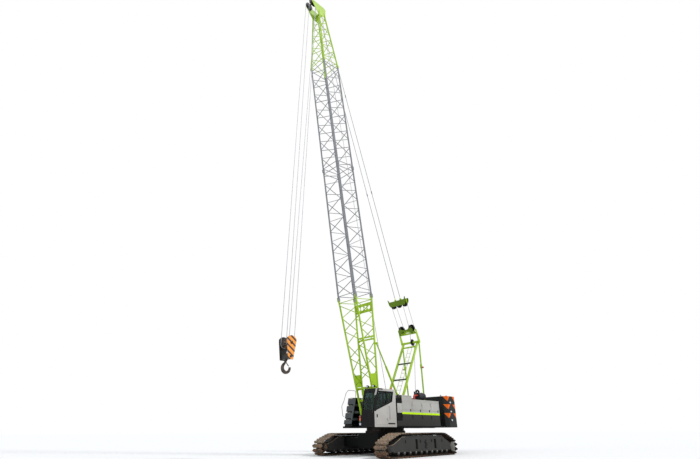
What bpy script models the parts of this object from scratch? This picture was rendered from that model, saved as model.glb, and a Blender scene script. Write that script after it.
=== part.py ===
"""Crawler crane with a lattice boom, modelled as separate pieces in metres, +Z up.

The crane faces -Y and its driver sits on the +X side. The pieces are built round
the slewing axis, and the last step moves that axis so that the whole crane is
centred over the origin, standing on the plane Z = 0.
"""

import math

import bmesh
import bpy
from mathutils import Matrix, Vector

# Shared clearances
SEAT_GAP = 0.0003
RUNNING_GAP = 0.0006
DOOR_GAP = 0.006
BITE = 0.004
OVERRUN = 0.05
WELD = 0.00001

# Crawlers
TRACK_GAUGE = 4.51
SHOE_WIDTH = 0.82
TRACK_LENGTH = 6.32
TRACK_HEIGHT = 1.095
END_RADIUS = 0.40
CORNER_RADIUS = 0.45
TOP_RUN_HALF = 1.95
SHOE_PITCH = 0.2
GROUSER_HEIGHT = 0.028
SHOE_GROOVE = 0.05
SHOE_DEPTH = 0.075
CHAIN_DEPTH = 0.135
CHAIN_HALF_WIDTH = 0.13
SHOE_SHARES = ((0.0, "groove"), (0.10, "plate"), (0.50, "tip"), (0.90, "plate"))

# Crawler side frames and their rollers
SIDE_FRAME_WIDTH = 0.62
SIDE_FRAME_BOTTOM = 0.26
SIDE_FRAME_TOP = 0.90
SIDE_FRAME_NOSE_Z = 0.52
SIDE_FRAME_TOP_HALF = 1.80
SIDE_FRAME_SHOULDER_HALF = 2.45
SIDE_FRAME_HALF = 2.93
ROLLER_COUNT = 10
ROLLER_RADIUS = 0.105
ROLLER_SPREAD_HALF = 2.12
CARRIER_RADIUS = 0.07
CARRIER_PLACES = (-0.95, 0.95)
POCKET_WIDTH = 0.20
POCKET_HEIGHT = 0.44
POCKET_DEPTH = 0.10
POCKET_PLACES = (-0.62, 1.05)
WHEEL_HALF_WIDTH = 0.085
WHEEL_HUB_RADIUS = 0.13
WHEEL_HUB_HALF = 0.30
WHEEL_BORE_GAP = 0.012
WHEEL_RIM_GAP = 0.0025

# Car body and slewing ring
CAR_BODY_BOTTOM = 0.36
CAR_BODY_TOP = 1.09
CAR_BODY_HALF_X = 1.25
CAR_BODY_HALF_Y = 1.45
CAR_BODY_CORNER = 0.55
CROSS_BEAM_CENTRE_Y = 1.05
CROSS_BEAM_WIDTH = 0.62
CROSS_BEAM_BOTTOM = 0.44
CROSS_BEAM_TOP = 0.88
RING_RADIUS = 1.06
RING_BORE_RADIUS = 0.62
RING_LIP_RADIUS = 1.13
RING_LIP_HEIGHT = 0.09
RING_TOP = 1.33

# Revolving frame
FRAME_BOTTOM = RING_TOP + SEAT_GAP
BEAM_INNER_X = 0.30
BEAM_OUTER_X = 0.655
BEAM_TOP = 1.62
BEAM_FRONT_Y = -1.50
FRAME_REAR_Y = 4.05
DECK_HALF_WIDTH = 1.54
DECK_FRONT_Y = -0.86
DECK_TOP = 1.44
DECK_THICKNESS = 0.07
SKIRT_HALF_WIDTH = 1.60
SKIRT_BOTTOM = 1.43
SKIRT_TOP = 1.67
SKIRT_REAR_Y = 3.27
CAB_SHELF_FRONT_Y = -2.55
PLATFORM_FRONT_Y = -2.20
PLATFORM_HALF_WIDTH = 1.55

# Boom foot brackets and gantry feet on the revolving frame
FOOT_Y = -1.186
FOOT_Z = 1.80
LUFF_DEGREES = 79.98
FOOT_CENTRE_X = 0.56
FOOT_PLATE_WIDTH = 0.10
FOOT_CHEEK_THICKNESS = 0.04
LUG_ROOT = 0.04
FOOT_EYE_RADIUS = 0.15
FOOT_PIN_RADIUS = 0.055
FOOT_SIDE_GAP = 0.005
FOOT_CHEEK_RISE_HALF = 0.36

# Counterweight
WEIGHT_FRONT_Y = FRAME_REAR_Y
WEIGHT_REAR_Y = 5.45
WEIGHT_HALF_WIDTH = 1.65
WEIGHT_FRONT_HALF = 1.45
WEIGHT_REAR_HALF = 0.90
WEIGHT_SIDE_START_Y = 4.25
WEIGHT_SIDE_END_Y = 5.05
WEIGHT_SHOULDER_HALF = 1.45
WEIGHT_SHOULDER_Y = 5.27
WEIGHT_LEVELS = (1.36, 1.66, 2.16, 2.66, 3.13)
WEIGHT_NAMES = ("counterweight_tray", "counterweight_lower",
                "counterweight_middle", "counterweight_upper")

# Machinery housings beside the deck
HOUSE_INNER_X = 0.74
HOUSE_OUTER_X = 1.60
HOUSE_FRONT_Y = -0.86
HOUSE_REAR_Y = 3.27
HOUSE_WALL = 0.035
HOUSE_TOP = 2.78
HOUSE_RAISED_TOP = 2.96
HOUSE_RAISED_FRONT_Y = -0.40
HOUSE_RAISED_REAR_Y = 0.54
DOOR_EDGES = (-0.40, 0.54, 1.47, 2.37, 3.27)
DOOR_BOTTOM = 1.72
DOOR_TOP_MARGIN = 0.06
DOOR_THICKNESS = 0.03
DOOR_SIDE_MARGIN = 0.03
HINGE_RADIUS = 0.014
HINGE_LENGTH = 0.10
HINGE_PLACE_SHARES = (0.18, 0.82)
LOUVRE_BOTTOM = 2.58
LOUVRE_TOP = 2.74
LOUVRE_COUNT = 4
LOUVRE_DEPTH = 0.015

# Cab
CAB_OUTER_X = 1.57
CAB_WIDTH = 0.897
CAB_FRONT_Y = -2.69
CAB_LENGTH = 1.804
CAB_BOTTOM = 1.3633
CAB_TOP = 3.20
CAB_WALL = 0.05
CAB_SILL_Z = 2.10
CAB_SILL_LEAN = 0.02
CAB_BROW_Z = 3.12
CAB_BROW_LEAN = 0.25
CAB_FRAME = 0.07
CAB_DOOR_FRONT_Y = -2.52
CAB_DOOR_REAR_Y = -1.63
CAB_DOOR_BOTTOM = 1.46
CAB_DOOR_TOP = 3.09
WINDOW_FRONT_LOW_Z = 2.17
WINDOW_MID_LOW_Z = 2.47
WINDOW_REAR_LOW_Z = 2.60
WINDOW_TOP_Z = 3.02
WINDOW_REAR_LOW_Y = -1.25
WINDOW_REAR_TOP_Y = -1.14
WINDOW_MARGIN = 0.06
GLASS_THICKNESS = 0.012

# Seat and console in the cab
SEAT_WIDTH = 0.46
SEAT_DEPTH = 0.46
SEAT_CUSHION = 0.12
SEAT_HEIGHT = 1.92
SEAT_BACK_HEIGHT = 0.62
SEAT_FRONT_Y = -1.95
SEAT_POST_WIDTH = 0.26
CONSOLE_WIDTH = 0.14
CONSOLE_LENGTH = 0.50
CONSOLE_TOP = 2.02

# Roof items of the cab
RAIL_HEIGHT = 0.05
RAIL_RADIUS = 0.014
LAMP_RADIUS = 0.055
LAMP_LENGTH = 0.07
BEACON_RADIUS = 0.05
BEACON_HEIGHT = 0.11
BEACON_TOP_SHARE = 0.8
BEACON_PLACE = (1.40, -1.02)

# Step box and handrail at the right front
STEP_BOX_INNER_X = 0.87
STEP_BOX_OUTER_X = 1.50
STEP_BOX_FRONT_Y = -2.05
STEP_BOX_REAR_Y = -1.02
STEP_BOX_LEAN = 0.22
STEP_BOX_TOP = 2.90
STEP_COUNT = 3
STEP_DEPTH = 0.07
STEP_THICKNESS = 0.04
PLATFORM_TOP = 1.42
HANDRAIL_RADIUS = 0.02
HANDRAIL_TOP = 3.25
HANDRAIL_FOOT_Z = 1.90
HANDRAIL_OFFSET = 0.06

# Winches on the deck
DRUM_NAMES = ("aux_hoist_drum", "main_hoist_drum", "boom_hoist_drum")
DRUM_PLACES_Y = (0.78, 1.68, 2.58)
DRUM_Z = 1.95
DRUM_RADIUS = 0.22
DRUM_FLANGE_RADIUS = 0.32
DRUM_HALF_LENGTH = 0.36
DRUM_FLANGE_THICKNESS = 0.03
WINCH_PLATE_THICKNESS = 0.04
WINCH_PLATE_HALF = 0.20
WINCH_PLATE_RISE = 0.12

# Engine, muffler and air cleaner
ENGINE_LOW = (0.84, 1.30, 1.50)
ENGINE_HIGH = (1.46, 2.90, 2.45)
MUFFLER_RADIUS = 0.20
MUFFLER_LENGTH = 0.62
MUFFLER_PLACE = (1.12, 1.78, 3.03)
MUFFLER_FOOT = 0.16
ELBOW_RADIUS = 0.06
ELBOW_RISE = 0.12

# Gantry
GANTRY_HEAD_Y = 3.05
GANTRY_HEAD_Z = 6.50
GANTRY_HALF_WIDTH = 0.58
GANTRY_FOOT_Y = 0.42
GANTRY_FOOT_Z = 1.84
GANTRY_LEG_RADIUS = 0.075
GANTRY_SHAFT_RADIUS = 0.07
GANTRY_BAR_RADIUS = 0.05
GANTRY_BAR_SHARES = (0.47, 0.69, 0.93)
REAR_FOOT_Y = 3.28
REAR_FOOT_Z = 1.84
REAR_LEG_RADIUS = 0.05
REAR_LEG_EYE = 0.10
REAR_CLAMP_RADIUS = 0.075
REAR_CLAMP_LENGTH = 0.12
REAR_CLAMP_SHARE = 0.66
FOOT_LUG_THICKNESS = 0.035
FOOT_LUG_RADIUS = 0.12

# Lower spreader on the gantry head
BAIL_LENGTH = 0.84
BAIL_HALF_WIDTH = 0.60
BAIL_PLATE_HEIGHT = 0.30
BAIL_PLATE_THICKNESS = 0.05
BAIL_ARM_WIDTH = 0.11
BAIL_SHEAVE_PLACES = (-0.42, 0.42)
BAIL_SHEAVE_RADIUS = 0.21
BAIL_SHEAVE_HALF = 0.06
BAIL_LEAN_DEGREES = 20.4

# Boom
BASE_LENGTH = 6.75
INSERT_LENGTH = 9.00
HEAD_LENGTH = 5.75
CHORD_SPREAD = 1.44
CHORD_RADIUS = 0.057
LACING_RADIUS = 0.0245
FOOT_HALF_DEPTH = 0.10
FOOT_PLATE_LENGTH = 1.60
JOINT_BACK = 0.10
LUG_REACH = 0.075
TONGUE_THICKNESS = 0.06
CHEEK_THICKNESS = 0.04
LUG_WIDTH = 0.125
FRAME_INSET = 0.20
LACING_INSET = 0.34
NODE_GAP = 0.024
LACING_TRIM = 0.028
BASE_LACING_START = 1.75
BACKSTOP_STATION = 4.30
BACK_PLATE_START = 5.86
BACK_PLATE_END = 6.42
BACK_PLATE_THICKNESS = 0.03
BACK_PLATE_HOLE_RADIUS = 0.13
BACK_PLATE_HOLES = 4
CROSS_BAR_RADIUS = 0.05

# Boom head
HEAD_SHAFT_N = -0.66
HEAD_SHAFT_S = 31.05
GUIDE_SHAFT_N = 0.42
GUIDE_SHAFT_S = 30.95
HEAD_TOP_FRONT_N = -0.16
HEAD_TOP_REAR_N = 0.40
HEAD_TOP_HALF_X = 0.36
HEAD_PLATE_THICKNESS = 0.04
HEAD_PLATE_LOW_S = 30.05
HEAD_SHEAVE_RADIUS = 0.33
HEAD_SHEAVE_HALF = 0.045
HEAD_SHEAVE_PLACES = (-0.22, 0.22)
HEAD_SHAFT_RADIUS = 0.05
HEAD_EYE_RADIUS = 0.17
GUIDE_SHEAVE_RADIUS = 0.15
GUIDE_SHEAVE_PLACES = (-0.08, 0.08)
ROPE_GROOVE = 0.03
ROPE_RADIUS = 0.013
ROPE_SEAT = 0.0165
BECKET_X = 0.30

# Backstops
BACKSTOP_RADIUS = 0.06
BACKSTOP_ROD_RADIUS = 0.042
BACKSTOP_TOP_S = 3.95
BACKSTOP_X = 0.70
BACKSTOP_FOOT_Y = 0.38
BACKSTOP_FOOT_Z = 3.06
BACKSTOP_SEAT_HALF = 0.09
BACKSTOP_SEAT_THICKNESS = 0.05
BACKSTOP_POST_INNER_X = 0.668
BACKSTOP_POST_OUTER_X = 0.734
BACKSTOP_SLEEVE_SHARE = 0.55

# Pendants and upper spreader
PENDANT_HALF_SPREAD = 0.22
PENDANT_RADIUS = 0.018
PENDANT_EYE_RADIUS = 0.085
PENDANT_EYE_THICKNESS = 0.04
SPREADER_Y = 2.02
SPREADER_Z = 9.05
SPREADER_HALF_WIDTH = 0.70
SPREADER_HEIGHT = 0.26
SPREADER_THICKNESS = 0.05
SPREADER_SHEAVES = (-0.48, 0.0, 0.48)
SPREADER_SHEAVE_RADIUS = 0.17
SPREADER_SHEAVE_HALF = 0.06
SPREADER_LUG_HALF = 0.05
SPREADER_LUG_HEIGHT = 0.16
COUPLING_LENGTH = 0.22
COUPLING_RADIUS = 0.036
PENDANT_JOINTS = 2

# Hook block and hook
FALL_LENGTH = 27.20
BLOCK_SHEAVE_RADIUS = 0.25
BLOCK_SHEAVE_PLACES = (-0.22, 0.22)
BLOCK_SHEAVE_HALF = 0.045
BLOCK_HALF_WIDTH = 0.335
BLOCK_CHEEK_THICKNESS = 0.03
BLOCK_HALF_DEPTH = 0.28
BLOCK_TOP = 0.34
BLOCK_BOTTOM = -0.80
BLOCK_FOOT_HALF = 0.15
BLOCK_PIN_RADIUS = 0.045
CROSSHEAD_RADIUS = 0.11
CROSSHEAD_Z = -0.66
HOOK_SHANK_RADIUS = 0.055
HOOK_NUT_RADIUS = 0.088
HOOK_BOWL_RADIUS = 0.20
HOOK_THICKNESS = 0.075
HOOK_DROP = 0.40
HOOK_OFFSET = 0.025

CRANE = "crawler_crane"


def clear_scene():
    """Remove every object, so that the script can be run again."""
    for thing in list(bpy.data.objects):
        bpy.data.objects.remove(thing, do_unlink=True)


def collection(name, hidden=False):
    """A collection of the scene with this name."""
    group = bpy.data.collections.get(name) or bpy.data.collections.new(name)
    if group.name not in bpy.context.scene.collection.children:
        bpy.context.scene.collection.children.link(group)
    group.hide_render = hidden
    return group


def paint(name, colour, roughness, metallic=0.0):
    """A Principled material in one colour."""
    made = bpy.data.materials.new(name)
    made.use_nodes = True
    shader = made.node_tree.nodes["Principled BSDF"]
    shader.inputs["Base Color"].default_value = (*colour, 1.0)
    shader.inputs["Roughness"].default_value = roughness
    shader.inputs["Metallic"].default_value = metallic
    return made


def axis(name, parent, place, turn=0.0):
    """An empty on a joint's axis, turned about X by an angle in radians."""
    empty = bpy.data.objects.new(name, None)
    collection(CRANE).objects.link(empty)
    empty.parent = parent
    empty.location = place
    empty.rotation_euler = (turn, 0.0, 0.0)
    return empty


def box(low, high):
    """A block between two corners."""
    low, high = Vector(low), Vector(high)
    form = bmesh.new()
    size = Matrix.Diagonal((*(high - low), 1.0))
    bmesh.ops.create_cube(form, size=1.0, matrix=Matrix.Translation((low + high) / 2) @ size)
    return form


def boxes(rows):
    """Several blocks that don't touch, as one shape."""
    form = bmesh.new()
    for low, high in rows:
        merge(form, box(low, high))
    return form


def merge(form, other):
    """Add one shape's faces to another and free the first."""
    mesh = bpy.data.meshes.new("merged")
    other.to_mesh(mesh)
    other.free()
    form.from_mesh(mesh)
    bpy.data.meshes.remove(mesh)
    return form


def rod(start, end, radius, sides=8, facing=(1.0, 0.0, 0.0)):
    """A closed bar between two points, with one flat side turned to facing."""
    start, end = Vector(start), Vector(end)
    along = (end - start).normalized()
    side = Vector(facing)
    side = side - along * side.dot(along)
    if side.length < WELD:
        side = Vector((0.0, 0.0, 1.0)) - along * along.z
    side.normalize()
    turn = Matrix((side, along.cross(side), along)).transposed().to_4x4()
    half_facet = Matrix.Rotation(math.pi / 2 + math.pi / sides, 4, "Z")
    form = bmesh.new()
    bmesh.ops.create_cone(form, cap_ends=True, segments=sides, radius1=radius, radius2=radius,
                          depth=(end - start).length,
                          matrix=Matrix.Translation((start + end) / 2) @ turn @ half_facet)
    return form


def rods(rows, radius, sides=8):
    """Several bars that don't touch: each row is start, end and facing."""
    form = bmesh.new()
    for start, end, facing in rows:
        merge(form, rod(start, end, radius, sides, facing))
    return form


def welded(curve):
    """A scratch curve's surface, welded where its caps meet its sides."""
    thing = bpy.data.objects.new("scratch", curve)
    mesh = bpy.data.meshes.new_from_object(thing)
    form = bmesh.new()
    form.from_mesh(mesh)
    bmesh.ops.remove_doubles(form, verts=form.verts, dist=WELD)
    bpy.data.objects.remove(thing, do_unlink=True)
    bpy.data.curves.remove(curve)
    bpy.data.meshes.remove(mesh)
    return form


PLANES = {
    "x": Matrix(((0, 0, 1, 0), (1, 0, 0, 0), (0, 1, 0, 0), (0, 0, 0, 1))),
    "y": Matrix(((1, 0, 0, 0), (0, 0, -1, 0), (0, 1, 0, 0), (0, 0, 0, 1))),
    "z": Matrix.Identity(4),
}


def slab(outline, normal, low, high, holes=()):
    """A flat outline made into a plate from low to high along its normal.

    The outline is in (y, z) for normal x, (x, z) for y and (x, y) for z.
    """
    curve = bpy.data.curves.new("outline", "CURVE")
    curve.dimensions = "2D"
    curve.fill_mode = "BOTH"
    curve.extrude = (high - low) / 2
    for ring in (outline, *holes):
        spline = curve.splines.new("POLY")
        spline.points.add(len(ring) - 1)
        for point, (a, b) in zip(spline.points, ring):
            point.co = (a, b, 0.0, 1.0)
        spline.use_cyclic_u = True
    form = welded(curve)
    sign = -1 if normal == "y" else 1
    lift = Matrix.Translation((0.0, 0.0, sign * (low + high) / 2))
    bmesh.ops.transform(form, matrix=PLANES[normal] @ lift, verts=form.verts)
    bmesh.ops.recalc_face_normals(form, faces=form.faces)
    return form


def turned(profile, centre, steps=16, upright=False):
    """A profile of (radius, place along the axis) turned about an axis along X or Z."""
    form = bmesh.new()
    points = [form.verts.new((radius, 0.0, along)) for radius, along in profile]
    ring = points if profile[0][0] == 0.0 else points + points[:1]
    edges = [form.edges.new(pair) for pair in zip(ring, ring[1:])]
    bmesh.ops.spin(form, geom=points + edges, cent=(0.0, 0.0, 0.0), axis=(0.0, 0.0, 1.0),
                   angle=2 * math.pi, steps=steps, use_merge=True)
    bmesh.ops.remove_doubles(form, verts=form.verts, dist=WELD)
    tip = Matrix.Identity(4) if upright else Matrix.Rotation(math.pi / 2, 4, "Y")
    bmesh.ops.transform(form, matrix=Matrix.Translation(centre) @ tip, verts=form.verts)
    bmesh.ops.recalc_face_normals(form, faces=form.faces)
    return form


def tube(points, radius, resolution=1, closed=False):
    """A bent bar of round section through the points."""
    curve = bpy.data.curves.new("tube", "CURVE")
    curve.dimensions = "3D"
    curve.bevel_depth = radius
    curve.bevel_resolution = resolution
    curve.use_fill_caps = True
    spline = curve.splines.new("POLY")
    spline.points.add(len(points) - 1)
    for point, place in zip(spline.points, points):
        point.co = (*place, 1.0)
    spline.use_cyclic_u = closed
    form = welded(curve)
    bmesh.ops.recalc_face_normals(form, faces=form.faces)
    return form


def arc(centre, radius, start, end, count):
    """Points on an arc, its angles in degrees, both ends included."""
    angles = [math.radians(start + (end - start) * i / count) for i in range(count + 1)]
    return [(centre[0] + radius * math.cos(a), centre[1] + radius * math.sin(a)) for a in angles]


def circle(centre, radius, count=16):
    """A closed ring of points."""
    return arc(centre, radius, 0, 360 * (count - 1) / count, count - 1)


def bore_ring(centre, radius, count=16):
    """A closed ring whose flats, not its corners, lie at the radius."""
    return circle(centre, radius / math.cos(math.pi / count), count)


def operand(name, form, parent):
    """A hidden helper that a Boolean reads."""
    mesh = bpy.data.meshes.new(name)
    form.to_mesh(mesh)
    form.free()
    helper = bpy.data.objects.new(name, mesh)
    helper.parent = parent
    helper.hide_render = True
    helper.display_type = "WIRE"
    return helper


def node(name, base, parent, finish, add=(), cut=(), smooth=False):
    """One solid piece: a base shape with others joined to it and cut from it."""
    mesh = bpy.data.meshes.new(name)
    base.to_mesh(mesh)
    base.free()
    piece = bpy.data.objects.new(name, mesh)
    collection(CRANE).objects.link(piece)
    piece.parent = parent
    mesh.materials.append(finish)
    for word, forms, action in (("join", add, "UNION"), ("cut", cut, "DIFFERENCE")):
        if not forms:
            continue
        group = bpy.data.collections.new(f"{name}_{word}")
        collection("cutters", hidden=True).children.link(group)
        for index, form in enumerate(forms):
            group.objects.link(operand(f"{name}_{word}_{index}", form, parent))
        step = piece.modifiers.new(word, "BOOLEAN")
        step.operation = action
        step.operand_type = "COLLECTION"
        step.collection = group
        step.solver = "EXACT"
    if smooth:
        mesh.shade_smooth()
        mesh.set_sharp_from_angle(angle=math.radians(35))
    return piece


def end_wheel_y():
    """Distance of the end wheels' axles from the crane's middle."""
    return TRACK_LENGTH / 2 - END_RADIUS


def track_stretches():
    """The crawler's outer line as straight runs and arcs, going round once."""
    corners = (((-end_wheel_y(), END_RADIUS), END_RADIUS),
               ((end_wheel_y(), END_RADIUS), END_RADIUS),
               ((TOP_RUN_HALF, TRACK_HEIGHT - CORNER_RADIUS), CORNER_RADIUS),
               ((-TOP_RUN_HALF, TRACK_HEIGHT - CORNER_RADIUS), CORNER_RADIUS))
    normals, lengths = [], []
    for index, (centre, radius) in enumerate(corners):
        other, other_radius = corners[(index + 1) % len(corners)]
        way = Vector(other) - Vector(centre)
        lean = math.asin((radius - other_radius) / way.length)
        normals.append(math.atan2(way.y, way.x) - math.pi / 2 + lean)
        lengths.append(way.length * math.cos(lean))
    stretches = []
    for index, (centre, radius) in enumerate(corners):
        before = normals[index - 1]
        sweep = (normals[index] - before) % (2 * math.pi)
        stretches.append((centre, radius, before, sweep, radius * sweep, 0.0))
        stretches.append((centre, radius, normals[index], 0.0, lengths[index], 1.0))
    return stretches


def track_point(distance, inset):
    """The point at a distance along the crawler's line, set in from it."""
    for centre, radius, angle, sweep, length, straight in track_stretches():
        if distance <= length:
            break
        distance -= length
    turn = angle if straight else angle + sweep * distance / length
    outward = Vector((math.cos(turn), math.sin(turn)))
    along = Vector((-outward.y, outward.x)) * (distance if straight else 0.0)
    return tuple(Vector(centre) + outward * (radius - inset) + along)


def track_ring(inset):
    """The crawler's line at one depth, with few points on its arcs."""
    points = []
    for centre, radius, angle, sweep, length, straight in track_stretches():
        if not straight:
            steps = max(2, round(sweep / math.radians(14)))
            points += arc(centre, radius - inset, math.degrees(angle),
                          math.degrees(angle + sweep), steps)
    return points


def build_track(side, root, paints):
    """A crawler: shoes with their grousers round the chain that carries them."""
    centre = side * TRACK_GAUGE / 2
    total = sum(row[4] for row in track_stretches())
    count = round(total / SHOE_PITCH)
    depths = {"groove": SHOE_GROOVE, "plate": GROUSER_HEIGHT, "tip": 0.0}
    outer = [track_point((index + share) * total / count, depths[level])
             for index in range(count) for share, level in SHOE_SHARES]
    shoes = slab(outer, "x", centre - SHOE_WIDTH / 2, centre + SHOE_WIDTH / 2,
                 [track_ring(SHOE_DEPTH)])
    chain = slab(track_ring(SHOE_DEPTH - BITE), "x", centre - CHAIN_HALF_WIDTH,
                 centre + CHAIN_HALF_WIDTH, [track_ring(CHAIN_DEPTH)])
    name = "left_track" if side > 0 else "right_track"
    node(name, shoes, root, paints["track"], add=[chain])


def build_side_frame(side, root, paints):
    """A crawler's side frame with its rollers, open at both ends for the wheels."""
    centre = side * TRACK_GAUGE / 2
    half = SIDE_FRAME_WIDTH / 2
    right = [(SIDE_FRAME_HALF, END_RADIUS), (SIDE_FRAME_HALF, SIDE_FRAME_NOSE_Z),
             (SIDE_FRAME_SHOULDER_HALF, SIDE_FRAME_NOSE_Z + SHOE_DEPTH),
             (SIDE_FRAME_TOP_HALF, SIDE_FRAME_TOP)]
    outline = right + [(-y, z) for y, z in reversed(right)]
    outline.append((-SIDE_FRAME_SHOULDER_HALF, SIDE_FRAME_BOTTOM))
    spacing = 2 * ROLLER_SPREAD_HALF / (ROLLER_COUNT - 1)
    axle = CHAIN_DEPTH + SEAT_GAP + ROLLER_RADIUS
    rise = math.degrees(math.asin((SIDE_FRAME_BOTTOM - axle) / ROLLER_RADIUS))
    for index in range(ROLLER_COUNT):
        outline += arc((-ROLLER_SPREAD_HALF + spacing * index, axle), ROLLER_RADIUS,
                       180 - rise, 360 + rise, 6)
    outline.append((SIDE_FRAME_SHOULDER_HALF, SIDE_FRAME_BOTTOM))
    frame = slab(outline, "x", centre - half, centre + half)
    top_axle = TRACK_HEIGHT - CHAIN_DEPTH - SEAT_GAP - CARRIER_RADIUS
    carriers = rods([((centre - CHAIN_HALF_WIDTH, y, top_axle),
                      (centre + CHAIN_HALF_WIDTH, y, top_axle), (0.0, 0.0, 1.0))
                     for y in CARRIER_PLACES], CARRIER_RADIUS, 12)
    middle = (SIDE_FRAME_BOTTOM + SIDE_FRAME_TOP) / 2
    face = centre + side * half
    pockets = boxes([((min(face - side * POCKET_DEPTH, face + side * OVERRUN),
                       y - POCKET_WIDTH / 2, middle - POCKET_HEIGHT / 2),
                      (max(face - side * POCKET_DEPTH, face + side * OVERRUN),
                       y + POCKET_WIDTH / 2, middle + POCKET_HEIGHT / 2))
                     for y in POCKET_PLACES])
    slot_start = end_wheel_y() - END_RADIUS
    slot_half = WHEEL_HALF_WIDTH + WHEEL_BORE_GAP
    slots = boxes([((centre - slot_half, min(sign * slot_start, sign * TRACK_LENGTH),
                     -OVERRUN),
                    (centre + slot_half, max(sign * slot_start, sign * TRACK_LENGTH),
                     TRACK_HEIGHT)) for sign in (-1, 1)])
    bores = rods([((centre - SHOE_WIDTH, sign * end_wheel_y(), END_RADIUS),
                   (centre + SHOE_WIDTH, sign * end_wheel_y(), END_RADIUS),
                   (0.0, 0.0, 1.0)) for sign in (-1, 1)], WHEEL_HUB_RADIUS + WHEEL_BORE_GAP, 16)
    name = "left_side_frame" if side > 0 else "right_side_frame"
    node(name, frame, root, paints["frame"], add=[carriers], cut=[pockets, slots, bores])


def build_end_wheels(side, root, paints):
    """The idler at the front and the sprocket at the rear of one crawler."""
    prefix = "left" if side > 0 else "right"
    radius = END_RADIUS - CHAIN_DEPTH - WHEEL_RIM_GAP
    profile = [(0.0, WHEEL_HUB_HALF), (WHEEL_HUB_RADIUS, WHEEL_HUB_HALF),
               (WHEEL_HUB_RADIUS, WHEEL_HALF_WIDTH), (radius, WHEEL_HALF_WIDTH),
               (radius, -WHEEL_HALF_WIDTH), (WHEEL_HUB_RADIUS, -WHEEL_HALF_WIDTH),
               (WHEEL_HUB_RADIUS, -WHEEL_HUB_HALF), (0.0, -WHEEL_HUB_HALF)]
    for word, sign in (("idler", -1), ("sprocket", 1)):
        place = (side * TRACK_GAUGE / 2, sign * end_wheel_y(), END_RADIUS)
        node(f"{prefix}_{word}", turned(profile, place), root, paints["frame"], smooth=True)


def build_car_body(root, paints):
    """The middle of the undercarriage, its cross beams and the slewing ring."""
    x, y, c = CAR_BODY_HALF_X, CAR_BODY_HALF_Y, CAR_BODY_CORNER
    quarter = [(x, y - c), (x - c, y)]
    plan = quarter + [(-a, b) for a, b in reversed(quarter)]
    plan += [(-a, -b) for a, b in quarter] + [(a, -b) for a, b in reversed(quarter)]
    body = slab(plan, "z", CAR_BODY_BOTTOM, CAR_BODY_TOP)
    reach = TRACK_GAUGE / 2 - SIDE_FRAME_WIDTH / 2 - SEAT_GAP
    beams = boxes([((-reach, sign * CROSS_BEAM_CENTRE_Y - CROSS_BEAM_WIDTH / 2, CROSS_BEAM_BOTTOM),
                    (reach, sign * CROSS_BEAM_CENTRE_Y + CROSS_BEAM_WIDTH / 2, CROSS_BEAM_TOP))
                   for sign in (-1, 1)])
    node("car_body", body, root, paints["black"], add=[beams])
    low = CAR_BODY_TOP + SEAT_GAP
    profile = [(RING_BORE_RADIUS, low), (RING_LIP_RADIUS, low),
               (RING_LIP_RADIUS, low + RING_LIP_HEIGHT), (RING_RADIUS, low + RING_LIP_HEIGHT),
               (RING_RADIUS, RING_TOP), (RING_BORE_RADIUS, RING_TOP)]
    node("slew_ring", turned(profile, (0.0, 0.0, 0.0), 32, upright=True), root,
         paints["black"], smooth=True)


def mirrored(low, high):
    """A block and its image on the other side of the crane."""
    return [(low, high), ((-high[0], low[1], low[2]), (-low[0], high[1], high[2]))]


def build_revolving_frame(slew, paints):
    """The deck with its beams, skirts, boom brackets, gantry feet and winch plates."""
    plate = box((-DECK_HALF_WIDTH, DECK_FRONT_Y, DECK_TOP - DECK_THICKNESS),
                (DECK_HALF_WIDTH, FRAME_REAR_Y - SEAT_GAP, DECK_TOP))
    beams = boxes(mirrored((BEAM_INNER_X, BEAM_FRONT_Y, FRAME_BOTTOM),
                           (BEAM_OUTER_X, FRAME_REAR_Y - SEAT_GAP, BEAM_TOP)))
    bed = box((-RING_RADIUS, DECK_FRONT_Y, FRAME_BOTTOM),
              (RING_RADIUS, RING_RADIUS, DECK_TOP - BITE))
    skirts = boxes(mirrored((DECK_HALF_WIDTH - BITE, DECK_FRONT_Y, SKIRT_BOTTOM - DECK_THICKNESS),
                            (SKIRT_HALF_WIDTH, SKIRT_REAR_Y, SKIRT_TOP)))
    shelves = boxes([((BEAM_OUTER_X - BITE, CAB_SHELF_FRONT_Y, FRAME_BOTTOM),
                      (CAB_OUTER_X - CAB_WALL, DECK_FRONT_Y + BITE, CAB_BOTTOM - SEAT_GAP)),
                     ((-PLATFORM_HALF_WIDTH, PLATFORM_FRONT_Y, FRAME_BOTTOM),
                      (-BEAM_OUTER_X + BITE, DECK_FRONT_Y + BITE, PLATFORM_TOP))])
    cheek_half = FOOT_PLATE_WIDTH / 2 + FOOT_SIDE_GAP
    cheek = arc((FOOT_Y, FOOT_Z), FOOT_EYE_RADIUS, 0, 180, 8)
    cheek = cheek + [(FOOT_Y - FOOT_CHEEK_RISE_HALF, BEAM_TOP - BITE),
                     (FOOT_Y + FOOT_CHEEK_RISE_HALF, BEAM_TOP - BITE)]
    parts = [beams, bed, skirts, shelves]
    cheeks = bmesh.new()
    for sign in (-1, 1):
        for edge in (-1, 1):
            inner = sign * FOOT_CENTRE_X + edge * cheek_half
            outer = inner + edge * FOOT_CHEEK_THICKNESS
            merge(cheeks, slab(cheek, "x", min(inner, outer), max(inner, outer)))
    parts.append(cheeks)
    pin_half = cheek_half + FOOT_CHEEK_THICKNESS
    parts.append(rods([((sign * FOOT_CENTRE_X - pin_half, FOOT_Y, FOOT_Z),
                        (sign * FOOT_CENTRE_X + pin_half, FOOT_Y, FOOT_Z), (0.0, 0.0, 1.0))
                       for sign in (-1, 1)], FOOT_PIN_RADIUS, 16))
    parts.append(feet_lugs())
    parts.append(winch_plates())
    parts += backstop_seats()
    node("revolving_frame", plate, slew, paints["dark"], add=parts)


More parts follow.
